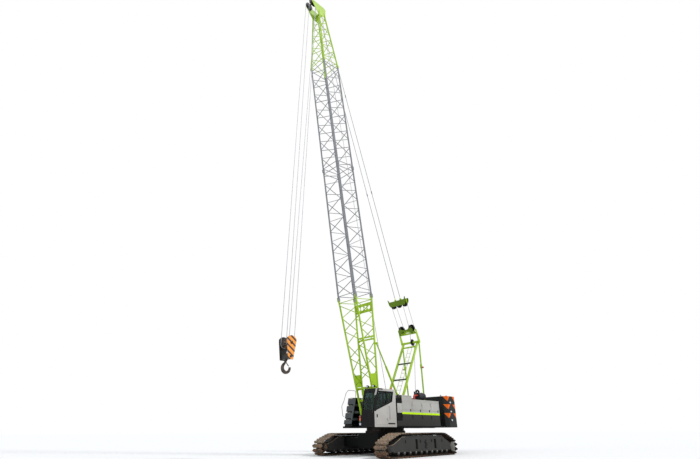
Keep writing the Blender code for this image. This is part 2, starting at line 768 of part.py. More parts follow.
def feet_lugs():
    """The plates on the beams that hold the gantry's legs."""
    form = bmesh.new()
    for foot_y, foot_z in ((GANTRY_FOOT_Y, GANTRY_FOOT_Z), (REAR_FOOT_Y, REAR_FOOT_Z)):
        outline = arc((foot_y, foot_z), FOOT_LUG_RADIUS, 0, 180, 6)
        outline += [(foot_y - FOOT_LUG_RADIUS, BEAM_TOP - BITE),
                    (foot_y + FOOT_LUG_RADIUS, BEAM_TOP - BITE)]
        for sign in (-1, 1):
            centre = sign * GANTRY_HALF_WIDTH
            merge(form, slab(outline, "x", centre - FOOT_LUG_THICKNESS / 2,
                             centre + FOOT_LUG_THICKNESS / 2))
    return form


def winch_plates():
    """The bearing plates at both ends of each winch drum."""
    form = bmesh.new()
    inner = DRUM_HALF_LENGTH + SEAT_GAP
    for y in DRUM_PLACES_Y:
        outline = arc((y, DRUM_Z), WINCH_PLATE_RISE, 0, 180, 6)
        outline += [(y - WINCH_PLATE_HALF, DECK_TOP - BITE), (y + WINCH_PLATE_HALF, DECK_TOP - BITE)]
        for sign in (-1, 1):
            low, high = sorted((sign * inner, sign * (inner + WINCH_PLATE_THICKNESS)))
            merge(form, slab(outline, "x", low, high))
    return form


def boom_to_side(n, s):
    """A place on the boom seen from the crane's side, (y, z)."""
    lean = math.radians(LUFF_DEGREES)
    return Vector((FOOT_Y - s * math.cos(lean) + n * math.sin(lean),
                   FOOT_Z + s * math.sin(lean) + n * math.cos(lean)))


def backstop_head():
    """The centre of the backstops' upper eyes, seated behind the chords, (n, s)."""
    chord = chord_point(2, BACKSTOP_TOP_S)
    way = chord_point(2, BASE_LENGTH) - chord
    out = Vector((way.z, -way.y)).normalized()
    flat = math.cos(math.pi / 8)
    return Vector((chord.y, chord.z)) + out * ((CHORD_RADIUS + BACKSTOP_RADIUS) * flat + SEAT_GAP), out


def backstop_line():
    """The backstops' lower and upper ends in the crane's side view."""
    return Vector((BACKSTOP_FOOT_Y, BACKSTOP_FOOT_Z)), boom_to_side(*backstop_head()[0])


def backstop_seats():
    """The posts on the deck that the backstops push on."""
    low, high = backstop_line()
    along = (high - low).normalized()
    across = Vector((-along.y, along.x)) * BACKSTOP_SEAT_HALF
    face = low - along * SEAT_GAP
    back = face - along * BACKSTOP_SEAT_THICKNESS
    outline = [face + across, face - across, back - across,
               Vector((BACKSTOP_FOOT_Y + BACKSTOP_SEAT_HALF, DECK_TOP - BITE)),
               Vector((BACKSTOP_FOOT_Y - BACKSTOP_SEAT_HALF, DECK_TOP - BITE)), back + across]
    outline = sorted_ring(outline)
    form = bmesh.new()
    for sign in (-1, 1):
        low_x, high_x = sorted((sign * BACKSTOP_POST_INNER_X, sign * BACKSTOP_POST_OUTER_X))
        merge(form, slab(outline, "x", low_x, high_x))
    return [form]


def sorted_ring(points):
    """The points of a convex outline in order round their middle."""
    middle = sum(points, Vector((0.0, 0.0))) / len(points)
    return [tuple(p) for p in sorted(points, key=lambda p: math.atan2(p.y - middle.y,
                                                                      p.x - middle.x))]


def build_counterweight(slew, paints):
    """A tray and three slabs stacked on it."""
    right = [(WEIGHT_FRONT_HALF, WEIGHT_FRONT_Y), (WEIGHT_HALF_WIDTH, WEIGHT_SIDE_START_Y),
             (WEIGHT_HALF_WIDTH, WEIGHT_SIDE_END_Y), (WEIGHT_SHOULDER_HALF, WEIGHT_SHOULDER_Y),
             (WEIGHT_REAR_HALF, WEIGHT_REAR_Y)]
    plan = right + [(-x, y) for x, y in reversed(right)]
    for name, low, high in zip(WEIGHT_NAMES, WEIGHT_LEVELS, WEIGHT_LEVELS[1:]):
        node(name, slab(plan, "z", low + SEAT_GAP, high), slew, paints["weight"])


def door_rows():
    """Each housing door: front edge, rear edge, bottom and top."""
    rows = []
    for front, rear in zip(DOOR_EDGES, DOOR_EDGES[1:]):
        raised = rear <= HOUSE_RAISED_REAR_Y + BITE
        top = (HOUSE_RAISED_TOP if raised else HOUSE_TOP) - DOOR_TOP_MARGIN
        rows.append((front + DOOR_SIDE_MARGIN, rear - DOOR_SIDE_MARGIN, DOOR_BOTTOM, top))
    return rows


def ear_outline(side, way):
    """A hinge ear's outline, (x, y): round at its pin and let into the door's face."""
    reach = HINGE_RADIUS - RUNNING_GAP
    edge = DOOR_GAP + HINGE_RADIUS
    inside = -HINGE_RADIUS - BITE
    ring = arc((0.0, 0.0), reach, 180, 360, 4)
    ring += [(reach, edge + OVERRUN), (inside, edge + OVERRUN), (inside, edge + BITE),
             (-reach, edge + BITE)]
    return [(side * x, way * y) for x, y in ring]


def build_housing(side, slew, paints):
    """A hollow machinery housing with its row of doors on hinges."""
    prefix = "left" if side > 0 else "right"
    floor = SKIRT_TOP + SEAT_GAP

    def across(a, b):
        return sorted((side * a, side * b))

    def block(x0, x1, y0, y1, z0, z1):
        low, high = across(x0, x1)
        return (low, y0, z0), (high, y1, z1)

    shell = box(*block(HOUSE_INNER_X, HOUSE_OUTER_X, HOUSE_FRONT_Y, HOUSE_REAR_Y, floor,
                       HOUSE_TOP))
    raised = box(*block(HOUSE_INNER_X, HOUSE_OUTER_X, HOUSE_RAISED_FRONT_Y,
                        HOUSE_RAISED_REAR_Y, floor + OVERRUN, HOUSE_RAISED_TOP))
    inner_low, inner_high = HOUSE_INNER_X + HOUSE_WALL, HOUSE_OUTER_X - HOUSE_WALL
    room = box(*block(inner_low, inner_high, HOUSE_FRONT_Y + HOUSE_WALL,
                      HOUSE_REAR_Y - HOUSE_WALL, floor - OVERRUN, HOUSE_TOP - HOUSE_WALL))
    loft = box(*block(inner_low, inner_high, HOUSE_RAISED_FRONT_Y + HOUSE_WALL,
                      HOUSE_RAISED_REAR_Y - HOUSE_WALL, floor, HOUSE_RAISED_TOP - HOUSE_WALL))
    openings = boxes([block(inner_high - OVERRUN, HOUSE_OUTER_X + OVERRUN, front - DOOR_GAP,
                            rear + DOOR_GAP, low - DOOR_GAP, high + DOOR_GAP)
                      for front, rear, low, high in door_rows()])
    step = (LOUVRE_TOP - LOUVRE_BOTTOM) / LOUVRE_COUNT
    slats = boxes([block(HOUSE_OUTER_X - LOUVRE_DEPTH, HOUSE_OUTER_X + OVERRUN,
                         HOUSE_FRONT_Y + OVERRUN, HOUSE_RAISED_FRONT_Y - DOOR_SIDE_MARGIN,
                         LOUVRE_BOTTOM + step * index, LOUVRE_BOTTOM + step * (index + 1 / 2))
                   for index in range(LOUVRE_COUNT)])
    hinge_x = side * (HOUSE_OUTER_X + HINGE_RADIUS)
    lugs = []
    for front, rear, low, high in door_rows():
        for share in HINGE_PLACE_SHARES:
            top = low + (high - low) * share - HINGE_LENGTH / 2 - SEAT_GAP
            lugs.append(((hinge_x, front - DOOR_GAP - HINGE_RADIUS, top - HINGE_LENGTH / 2),
                         (hinge_x, front - DOOR_GAP - HINGE_RADIUS, top), (1.0, 0.0, 0.0)))
    knuckles = rods(lugs, HINGE_RADIUS + BITE, 6)
    node(f"{prefix}_housing", shell, slew, paints["panel"], add=[raised, knuckles],
         cut=[room, loft, openings, slats])
    for index, (front, rear, low, high) in enumerate(door_rows(), 1):
        hinge_y = front - DOOR_GAP - HINGE_RADIUS
        hinge = axis(f"{prefix}_door_{index}_hinge", slew, (hinge_x, hinge_y, low))
        x0, x1 = sorted((side * -HINGE_RADIUS, side * (-HINGE_RADIUS - DOOR_THICKNESS)))
        panel = box((x0, front - hinge_y, 0.0), (x1, rear - hinge_y, high - low))
        ears = bmesh.new()
        for share in HINGE_PLACE_SHARES:
            middle = (high - low) * share
            merge(ears, slab(ear_outline(side, 1), "z", middle - HINGE_LENGTH / 2,
                             middle + HINGE_LENGTH / 2))
        node(f"{prefix}_door_{index}", panel, hinge, paints["panel"], add=[ears])


def cab_inner_x():
    """The cab's side towards the boom."""
    return CAB_OUTER_X - CAB_WIDTH


def cab_rear_y():
    """The cab's back wall."""
    return CAB_FRONT_Y + CAB_LENGTH


def cab_front_at(height):
    """Where the cab's front stands at a height, leaning back above its sill."""
    if height <= CAB_SILL_Z:
        share = (height - CAB_BOTTOM) / (CAB_SILL_Z - CAB_BOTTOM)
        return CAB_FRONT_Y + CAB_SILL_LEAN * share
    share = (height - CAB_SILL_Z) / (CAB_BROW_Z - CAB_SILL_Z)
    return CAB_FRONT_Y + CAB_SILL_LEAN + (CAB_BROW_LEAN - CAB_SILL_LEAN) * share


def cab_profile(inset):
    """The cab's side view, set in by a wall."""
    front, rear = inset, cab_rear_y() - inset
    return [(cab_front_at(CAB_BOTTOM) + front, CAB_BOTTOM + inset),
            (rear, CAB_BOTTOM + inset), (rear, CAB_TOP - inset),
            (cab_front_at(CAB_BROW_Z) + front + CAB_WALL, CAB_TOP - inset),
            (cab_front_at(CAB_BROW_Z) + front, CAB_BROW_Z - inset),
            (cab_front_at(CAB_SILL_Z) + front, CAB_SILL_Z)]


def window_low_at(y):
    """The side window's lower edge, which climbs towards the rear."""
    front = cab_front_at(WINDOW_FRONT_LOW_Z) + WINDOW_MARGIN
    if y <= CAB_DOOR_REAR_Y:
        share = (y - front) / (CAB_DOOR_REAR_Y - front)
        return WINDOW_FRONT_LOW_Z + (WINDOW_MID_LOW_Z - WINDOW_FRONT_LOW_Z) * share
    share = (y - CAB_DOOR_REAR_Y) / (WINDOW_REAR_LOW_Y - CAB_DOOR_REAR_Y)
    return WINDOW_MID_LOW_Z + (WINDOW_REAR_LOW_Z - WINDOW_MID_LOW_Z) * share


def door_window(grow=0.0):
    """The window in the cab door, (y, z)."""
    front_low = cab_front_at(WINDOW_FRONT_LOW_Z) + CAB_FRAME + WINDOW_MARGIN
    front_top = cab_front_at(WINDOW_TOP_Z) + CAB_FRAME + WINDOW_MARGIN
    rear = CAB_DOOR_REAR_Y - WINDOW_MARGIN
    return [(front_low - grow, window_low_at(front_low) - grow),
            (rear + grow, window_low_at(rear) - grow), (rear + grow, WINDOW_TOP_Z + grow),
            (front_top - grow, WINDOW_TOP_Z + grow)]


def quarter_window(grow=0.0):
    """The window behind the cab door, (y, z)."""
    front = CAB_DOOR_REAR_Y + WINDOW_MARGIN
    return [(front - grow, window_low_at(front) - grow),
            (WINDOW_REAR_LOW_Y + grow, window_low_at(WINDOW_REAR_LOW_Y) - grow),
            (WINDOW_REAR_TOP_Y + grow, WINDOW_TOP_Z + grow), (front - grow, WINDOW_TOP_Z + grow)]


def right_window(grow=0.0):
    """The window in the cab's wall towards the boom, (y, z)."""
    front_low = cab_front_at(CAB_SILL_Z) + CAB_FRAME + WINDOW_MARGIN
    front_top = cab_front_at(WINDOW_TOP_Z) + CAB_FRAME + WINDOW_MARGIN
    rear = cab_rear_y() - CAB_FRAME - WINDOW_MARGIN
    return [(front_low - grow, CAB_SILL_Z + WINDOW_MARGIN - grow),
            (rear + grow, CAB_SILL_Z + WINDOW_MARGIN - grow), (rear + grow, WINDOW_TOP_Z + grow),
            (front_top - grow, WINDOW_TOP_Z + grow)]


def cab_door_outline(grow=0.0):
    """The cab door's outline, (y, z), leaning back with the windshield pillar."""
    low_front = CAB_DOOR_FRONT_Y
    sill_front = cab_front_at(CAB_SILL_Z) + CAB_FRAME + DOOR_GAP
    top_front = cab_front_at(CAB_DOOR_TOP) + CAB_FRAME + DOOR_GAP
    return [(low_front - grow, CAB_DOOR_BOTTOM - grow), (CAB_DOOR_REAR_Y + grow, CAB_DOOR_BOTTOM - grow),
            (CAB_DOOR_REAR_Y + grow, CAB_DOOR_TOP + grow), (top_front - grow, CAB_DOOR_TOP + grow),
            (sill_front - grow, CAB_SILL_Z)]


def windshield_corners(grow=0.0):
    """The windshield's outline, (x, share of the height from sill to brow)."""
    inner = cab_inner_x() + CAB_FRAME
    outer = CAB_OUTER_X - CAB_FRAME
    low = CAB_SILL_Z + CAB_FRAME
    high = CAB_BROW_Z - CAB_FRAME
    return [(inner - grow, low - grow), (outer + grow, low - grow), (outer + grow, high + grow),
            (inner - grow, high + grow)]


def leaning_plate(outline, front, back):
    """A plate that leans with the windshield, between two depths behind its face."""
    form = slab(outline, "y", front, back)
    lean = (CAB_BROW_LEAN - CAB_SILL_LEAN) / (CAB_BROW_Z - CAB_SILL_Z)
    shear = Matrix.Identity(4)
    shear[1][2] = lean
    shear[1][3] = cab_front_at(CAB_SILL_Z) - lean * CAB_SILL_Z
    bmesh.ops.transform(form, matrix=shear, verts=form.verts)
    bmesh.ops.recalc_face_normals(form, faces=form.faces)
    return form


def build_cab(slew, paints):
    """The hollow cab, its door on its hinge, its glass, and the seat inside."""
    inner, outer = cab_inner_x(), CAB_OUTER_X
    shell = slab(cab_profile(0.0), "x", inner, outer)
    room = slab(cab_profile(CAB_WALL), "x", inner + CAB_WALL, outer - CAB_WALL)
    doorway = slab(cab_door_outline(DOOR_GAP), "x", outer - CAB_WALL - OVERRUN, outer + OVERRUN)
    quarter = slab(quarter_window(), "x", outer - CAB_WALL - OVERRUN, outer + OVERRUN)
    right = slab(right_window(), "x", inner - OVERRUN, inner + CAB_WALL + OVERRUN)
    front = leaning_plate(windshield_corners(), -OVERRUN, CAB_WALL + OVERRUN)
    back_low = (inner + CAB_FRAME + CAB_WALL, CAB_SILL_Z + CAB_FRAME)
    back_high = (outer - CAB_FRAME - CAB_WALL, WINDOW_TOP_Z)
    back_window = [back_low, (back_high[0], back_low[1]), back_high, (back_low[0], back_high[1])]
    back = slab(back_window, "y", cab_rear_y() - CAB_WALL - OVERRUN, cab_rear_y() + OVERRUN)
    rails = tube([(inner + CAB_WALL, cab_front_at(CAB_BROW_Z) + CAB_FRAME, CAB_TOP - BITE),
                  (inner + CAB_WALL, cab_front_at(CAB_BROW_Z) + CAB_FRAME, CAB_TOP + RAIL_HEIGHT),
                  (outer - CAB_WALL, cab_front_at(CAB_BROW_Z) + CAB_FRAME, CAB_TOP + RAIL_HEIGHT),
                  (outer - CAB_WALL, cab_front_at(CAB_BROW_Z) + CAB_FRAME, CAB_TOP - BITE)],
                 RAIL_RADIUS)
    lamp_y = cab_front_at(CAB_BROW_Z) + CAB_FRAME
    lamps = rods([((x, lamp_y - LAMP_LENGTH, CAB_TOP + RAIL_HEIGHT + LAMP_RADIUS),
                   (x, lamp_y + RAIL_RADIUS, CAB_TOP + RAIL_HEIGHT + LAMP_RADIUS),
                   (0.0, 0.0, 1.0)) for x in (inner + CAB_WIDTH / 4, outer - CAB_WIDTH / 4)],
                 LAMP_RADIUS + RAIL_RADIUS, 12)
    hinge_x, hinge_y = outer + HINGE_RADIUS, CAB_DOOR_REAR_Y + DOOR_GAP + HINGE_RADIUS
    height = CAB_DOOR_TOP - CAB_DOOR_BOTTOM
    tops = [CAB_DOOR_BOTTOM + height * share - HINGE_LENGTH / 2 - SEAT_GAP
            for share in HINGE_PLACE_SHARES]
    knuckles = rods([((hinge_x, hinge_y, top - HINGE_LENGTH / 2), (hinge_x, hinge_y, top),
                      (1.0, 0.0, 0.0)) for top in tops], HINGE_RADIUS + BITE, 6)
    node("cab_shell", shell, slew, paints["black"], add=[rails, lamps, knuckles],
         cut=[room, doorway, quarter, right, front, back])
    stand = CAB_TOP + SEAT_GAP
    lens = [(0.0, stand + BEACON_HEIGHT), (BEACON_RADIUS * BEACON_TOP_SHARE, stand + BEACON_HEIGHT),
            (BEACON_RADIUS, stand), (0.0, stand)]
    node("beacon", turned(lens, (*BEACON_PLACE, 0.0), 12, upright=True), slew, paints["amber"],
         smooth=True)
    build_cab_door(slew, paints, (hinge_x, hinge_y))
    glass_low, glass_high = CAB_WALL / 2 - GLASS_THICKNESS / 2, CAB_WALL / 2 + GLASS_THICKNESS / 2
    node("windshield", leaning_plate(windshield_corners(-SEAT_GAP), glass_low, glass_high), slew,
         paints["glass"])
    node("quarter_glass", slab(quarter_window(-SEAT_GAP), "x", outer - glass_high,
                               outer - glass_low), slew, paints["glass"])
    node("right_glass", slab(right_window(-SEAT_GAP), "x", inner + glass_low,
                             inner + glass_high), slew, paints["glass"])
    pane = [(back_low[0] + SEAT_GAP, back_low[1] + SEAT_GAP),
            (back_high[0] - SEAT_GAP, back_low[1] + SEAT_GAP),
            (back_high[0] - SEAT_GAP, back_high[1] - SEAT_GAP),
            (back_low[0] + SEAT_GAP, back_high[1] - SEAT_GAP)]
    node("rear_glass", slab(pane, "y", cab_rear_y() - glass_high, cab_rear_y() - glass_low), slew,
         paints["glass"])
    build_seat(slew, paints)


def build_cab_door(slew, paints, hinge_place):
    """The cab door with its window, hung at its rear edge."""
    hinge_x, hinge_y = hinge_place
    hinge = axis("cab_door_hinge", slew, (hinge_x, hinge_y, 0.0))

    def shifted(points):
        return [(y - hinge_y, z) for y, z in points]

    face = CAB_OUTER_X - hinge_x
    panel = slab(shifted(cab_door_outline()), "x", face - CAB_WALL, face)
    window = slab(shifted(door_window()), "x", face - CAB_WALL - OVERRUN, face + OVERRUN)
    ears = bmesh.new()
    height = CAB_DOOR_TOP - CAB_DOOR_BOTTOM
    for share in HINGE_PLACE_SHARES:
        middle = CAB_DOOR_BOTTOM + height * share
        merge(ears, slab(ear_outline(1, -1), "z", middle - HINGE_LENGTH / 2,
                         middle + HINGE_LENGTH / 2))
    node("cab_door", panel, hinge, paints["panel"], add=[ears], cut=[window])
    middle = CAB_WALL / 2
    node("door_glass", slab(shifted(door_window(-SEAT_GAP)), "x",
                            face - middle - GLASS_THICKNESS / 2,
                            face - middle + GLASS_THICKNESS / 2), hinge, paints["glass"])


def build_seat(slew, paints):
    """The driver's seat on its post and the console beside it."""
    middle = (cab_inner_x() + CAB_OUTER_X) / 2
    half = SEAT_WIDTH / 2
    floor = CAB_BOTTOM + CAB_WALL + SEAT_GAP
    rear = SEAT_FRONT_Y + SEAT_DEPTH
    cushion = box((middle - half, SEAT_FRONT_Y, SEAT_HEIGHT - SEAT_CUSHION),
                  (middle + half, rear, SEAT_HEIGHT))
    back = box((middle - half, rear - SEAT_CUSHION, SEAT_HEIGHT - BITE),
               (middle + half, rear, SEAT_HEIGHT + SEAT_BACK_HEIGHT))
    post = box((middle - SEAT_POST_WIDTH / 2, SEAT_FRONT_Y + SEAT_CUSHION, floor),
               (middle + SEAT_POST_WIDTH / 2, rear - SEAT_CUSHION / 2, SEAT_HEIGHT - OVERRUN))
    node("seat", cushion, slew, paints["black"], add=[back, post])
    low = cab_inner_x() + CAB_WALL + SEAT_GAP
    node("console", box((low, SEAT_FRONT_Y, floor),
                        (low + CONSOLE_WIDTH, SEAT_FRONT_Y + CONSOLE_LENGTH, CONSOLE_TOP)), slew,
         paints["dark"])


def build_step_box(slew, paints):
    """The locker at the right front, climbed by ribs on its front, and its rail."""
    floor = PLATFORM_TOP + SEAT_GAP
    outline = [(STEP_BOX_FRONT_Y, floor), (STEP_BOX_REAR_Y, floor), (STEP_BOX_REAR_Y, STEP_BOX_TOP),
               (STEP_BOX_FRONT_Y + STEP_BOX_LEAN, STEP_BOX_TOP)]
    body = slab(outline, "x", -STEP_BOX_OUTER_X, -STEP_BOX_INNER_X)
    rise = (STEP_BOX_TOP - floor) / (STEP_COUNT + 1)
    ribs = []
    for index in range(1, STEP_COUNT + 1):
        height = floor + rise * index
        front = STEP_BOX_FRONT_Y + STEP_BOX_LEAN * index / (STEP_COUNT + 1)
        ribs.append(((-STEP_BOX_OUTER_X, front - STEP_DEPTH, height),
                     (-STEP_BOX_INNER_X, front + STEP_DEPTH, height + STEP_THICKNESS)))
    node("step_box", body, slew, paints["dark"], add=[boxes(ribs)])
    x = -STEP_BOX_OUTER_X - HANDRAIL_OFFSET
    top_front = STEP_BOX_FRONT_Y + STEP_BOX_LEAN
    inside = -STEP_BOX_OUTER_X - SEAT_GAP
    rear, low = STEP_BOX_REAR_Y - HANDRAIL_OFFSET, STEP_BOX_TOP - HANDRAIL_OFFSET
    points = [(inside, top_front, HANDRAIL_FOOT_Z), (x, top_front, HANDRAIL_FOOT_Z),
              (x, top_front, HANDRAIL_TOP), (x, rear, HANDRAIL_TOP), (x, rear, low),
              (inside, rear, low)]
    node("handrail", tube(points, HANDRAIL_RADIUS), slew, paints["grey"])


def build_winches(slew, paints):
    """Three rope drums that turn between their bearing plates."""
    half = DRUM_HALF_LENGTH
    rim = half - DRUM_FLANGE_THICKNESS
    profile = [(0.0, half), (DRUM_FLANGE_RADIUS, half), (DRUM_FLANGE_RADIUS, rim),
               (DRUM_RADIUS, rim), (DRUM_RADIUS, -rim), (DRUM_FLANGE_RADIUS, -rim),
               (DRUM_FLANGE_RADIUS, -half), (0.0, -half)]
    for name, y in zip(DRUM_NAMES, DRUM_PLACES_Y):
        spin = axis(f"{name}_axis", slew, (0.0, y, DRUM_Z))
        node(name, turned(profile, (0.0, 0.0, 0.0)), spin, paints["grey"], smooth=True)


def build_engine(slew, paints):
    """The engine's mass inside the left housing, and the muffler on its roof."""
    low = (ENGINE_LOW[0], ENGINE_LOW[1], DECK_TOP + SEAT_GAP)
    node("engine_block", box(low, ENGINE_HIGH), slew, paints["dark"])
    x, y, z = MUFFLER_PLACE
    can = rod((x, y, z), (x, y + MUFFLER_LENGTH, z), MUFFLER_RADIUS, 16)
    foot = HOUSE_TOP + SEAT_GAP
    saddles = boxes([((x - MUFFLER_FOOT / 2, y + offset, foot),
                      (x + MUFFLER_FOOT / 2, y + offset + OVERRUN, z))
                     for offset in (MUFFLER_LENGTH / 8, MUFFLER_LENGTH * 3 / 4)])
    mouth = [(x, y + OVERRUN, z), (x, y - ELBOW_RISE, z), (x, y - 2 * ELBOW_RISE, z + ELBOW_RISE),
             (x, y - 2 * ELBOW_RISE, z + 2 * ELBOW_RISE)]
    node("muffler", can, slew, paints["black"], add=[saddles, tube(mouth, ELBOW_RADIUS)],
         smooth=True)


def gantry_front_leg():
    """The lower and upper ends of the gantry's front legs, (y, z)."""
    return Vector((GANTRY_FOOT_Y, GANTRY_FOOT_Z)), Vector((GANTRY_HEAD_Y, GANTRY_HEAD_Z))


def build_gantry(slew, paints):
    """The gantry's front frame, its rear legs and the lower spreader."""
    low, high = gantry_front_leg()
    way = (high - low).normalized()
    lug_gap = FOOT_LUG_THICKNESS / 2 + SEAT_GAP
    eye_thickness = FOOT_LUG_THICKNESS
    start = low + way * FOOT_LUG_RADIUS * 2
    legs = rods([((sign * GANTRY_HALF_WIDTH, *start), (sign * GANTRY_HALF_WIDTH, *high),
                  (1.0, 0.0, 0.0)) for sign in (-1, 1)], GANTRY_LEG_RADIUS, 12)
    eyes = bmesh.new()
    across = Vector((-way.y, way.x)) * GANTRY_LEG_RADIUS
    for sign in (-1, 1):
        for edge in (-1, 1):
            near = sign * GANTRY_HALF_WIDTH + edge * lug_gap
            far = near + edge * eye_thickness
            outline = sorted_ring([low - way * GANTRY_LEG_RADIUS + across / 2,
                                   low - way * GANTRY_LEG_RADIUS - across / 2,
                                   start + way * OVERRUN + across, start + way * OVERRUN - across])
            merge(eyes, slab(outline, "x", min(near, far), max(near, far)))
    bars = rods([((-GANTRY_HALF_WIDTH, *(low + (high - low) * share)),
                  (GANTRY_HALF_WIDTH, *(low + (high - low) * share)), (0.0, 0.0, 1.0))
                 for share in GANTRY_BAR_SHARES], GANTRY_BAR_RADIUS, 8)
    shaft_half = GANTRY_HALF_WIDTH + GANTRY_LEG_RADIUS + 3 * FOOT_LUG_THICKNESS
    shaft = rod((-shaft_half, *high), (shaft_half, *high), GANTRY_SHAFT_RADIUS, 16)
    node("gantry_front_frame", legs, slew, paints["green"], add=[eyes, bars, shaft])
    build_rear_legs(slew, paints, high)
    build_bail(slew, paints, high)


def build_rear_legs(slew, paints, head):
    """The gantry's rear legs, in two lengths joined by a clamp."""
    foot = Vector((REAR_FOOT_Y, REAR_FOOT_Z))
    way = (head - foot).normalized()
    across = Vector((-way.y, way.x))
    for prefix, sign in (("left", 1), ("right", -1)):
        centre = sign * GANTRY_HALF_WIDTH
        start = foot + way * (FOOT_LUG_RADIUS + SEAT_GAP + BITE)
        outer = centre + sign * (GANTRY_LEG_RADIUS + FOOT_LUG_THICKNESS)
        top = head - way * (GANTRY_SHAFT_RADIUS + SEAT_GAP)
        leg = rod((centre, *start), (outer, *(top - way * REAR_LEG_EYE)), REAR_LEG_RADIUS, 10)
        tail = head - way * REAR_LEG_EYE * 2
        eye = arc(tuple(head), REAR_LEG_EYE, 0, 180, 6)
        eye += [tuple(tail + across * REAR_LEG_RADIUS), tuple(tail - across * REAR_LEG_RADIUS)]
        inner_x = sign * (GANTRY_HALF_WIDTH + GANTRY_LEG_RADIUS + SEAT_GAP)
        outer_x = inner_x + sign * FOOT_LUG_THICKNESS
        hole = bore_ring(tuple(head), GANTRY_SHAFT_RADIUS + SEAT_GAP)
        cheek = slab(eye, "x", min(inner_x, outer_x), max(inner_x, outer_x), [hole])
        place = foot + (head - foot) * REAR_CLAMP_SHARE
        clamp_x = centre + (outer - centre) * REAR_CLAMP_SHARE
        clamp = rod((clamp_x, *(place - way * REAR_CLAMP_LENGTH)),
                    (clamp_x, *(place + way * REAR_CLAMP_LENGTH)), REAR_CLAMP_RADIUS, 10)
        lug_gap = FOOT_LUG_THICKNESS / 2 + SEAT_GAP
        forks = bmesh.new()
        for edge in (-1, 1):
            near = centre + edge * lug_gap
            far = near + edge * FOOT_LUG_THICKNESS
            outline = sorted_ring([foot - way * REAR_LEG_RADIUS + across * REAR_LEG_RADIUS,
                                   foot - way * REAR_LEG_RADIUS - across * REAR_LEG_RADIUS,
                                   start + way * REAR_CLAMP_LENGTH + across * REAR_LEG_RADIUS,
                                   start + way * REAR_CLAMP_LENGTH - across * REAR_LEG_RADIUS])
            merge(forks, slab(outline, "x", min(near, far), max(near, far)))
        node(f"{prefix}_rear_leg", leg, slew, paints["green"], add=[cheek, clamp, forks])


def build_bail(slew, paints, head):
    """The lower spreader: a plate held by two arms on the gantry's shaft, with sheaves."""
    lean = math.radians(BAIL_LEAN_DEGREES)
    frame = axis("bail_frame", slew, (0.0, *head), lean)
    arm_x = GANTRY_HALF_WIDTH + GANTRY_LEG_RADIUS + FOOT_LUG_THICKNESS + 2 * SEAT_GAP
    top = BAIL_LENGTH
    width = BAIL_HALF_WIDTH
    arch = arc((0.0, top - BAIL_PLATE_HEIGHT), width / 2, 180, 0, 8)
    outline = [(-width, top - BAIL_PLATE_HEIGHT), (-width, top + BAIL_PLATE_HEIGHT / 3),
               (-width / 2, top + BAIL_PLATE_HEIGHT / 3), (-width / 3, top),
               (width / 3, top), (width / 2, top + BAIL_PLATE_HEIGHT / 3),
               (width, top + BAIL_PLATE_HEIGHT / 3), (width, top - BAIL_PLATE_HEIGHT)]
    arch = [(x, z * 0.5 + (top - BAIL_PLATE_HEIGHT) * 0.5) for x, z in arch]
    plate = slab(outline + arch[::-1], "y", -BAIL_PLATE_THICKNESS / 2, BAIL_PLATE_THICKNESS / 2)
    arms = bmesh.new()
    for sign in (-1, 1):
        low_x, high_x = sorted((sign * arm_x, sign * (arm_x + FOOT_LUG_THICKNESS)))
        ring = arc((0.0, 0.0), BAIL_ARM_WIDTH, 180, 360, 8)
        ring += [(BAIL_ARM_WIDTH / 2, top), (-BAIL_ARM_WIDTH / 2, top)]
        merge(arms, slab(ring, "x", low_x, high_x,
                         [bore_ring((0.0, 0.0), GANTRY_SHAFT_RADIUS + SEAT_GAP)]))
    tie = box((-arm_x - FOOT_LUG_THICKNESS / 2, -BAIL_ARM_WIDTH / 3, top - BAIL_PLATE_HEIGHT),
              (arm_x + FOOT_LUG_THICKNESS / 2, BAIL_ARM_WIDTH / 3,
               top - BAIL_PLATE_HEIGHT + BAIL_ARM_WIDTH))
    sheaves = bmesh.new()
    for place in BAIL_SHEAVE_PLACES:
        merge(sheaves, rod((place - BAIL_SHEAVE_HALF, 0.0, top + BAIL_PLATE_HEIGHT / 3),
                           (place + BAIL_SHEAVE_HALF, 0.0, top + BAIL_PLATE_HEIGHT / 3),
                           BAIL_SHEAVE_RADIUS, 20))
    node("lower_spreader", plate, frame, paints["green"], add=[arms, tie, sheaves])


def boom_half_width(s):
    """Half the chord spread across the boom at a station."""
    full = CHORD_SPREAD / 2
    if s < BASE_LENGTH:
        return FOOT_CENTRE_X + (full - FOOT_CENTRE_X) * s / BASE_LENGTH
    start = BASE_LENGTH + 2 * INSERT_LENGTH
    if s > start:
        return full + (HEAD_TOP_HALF_X - full) * (s - start) / HEAD_LENGTH
    return full


def boom_half_depth(s):
    """Half the chord spread in the boom's depth at a station below the head."""
    full = CHORD_SPREAD / 2
    if s < BASE_LENGTH:
        return FOOT_HALF_DEPTH + (full - FOOT_HALF_DEPTH) * s / BASE_LENGTH
    return full


def chord_point(index, s):
    """A chord's centre at a station: 0 and 1 in front, 2 and 3 behind."""
    side = (-1, 1, 1, -1)[index]
    front = index < 2
    depth = boom_half_depth(s)
    start = BASE_LENGTH + 2 * INSERT_LENGTH
    n = -depth if front else depth
    if s > start:
        goal = HEAD_TOP_FRONT_N if front else HEAD_TOP_REAR_N
        n = n + (goal - n) * (s - start) / HEAD_LENGTH
    return Vector((side * boom_half_width(s), n, s))


def lacing_row(start, end, facing):
    """A lacing bar between two chords, trimmed to end just inside them."""
    way = (end - start).normalized()
    return start + way * LACING_TRIM, end - way * LACING_TRIM, facing


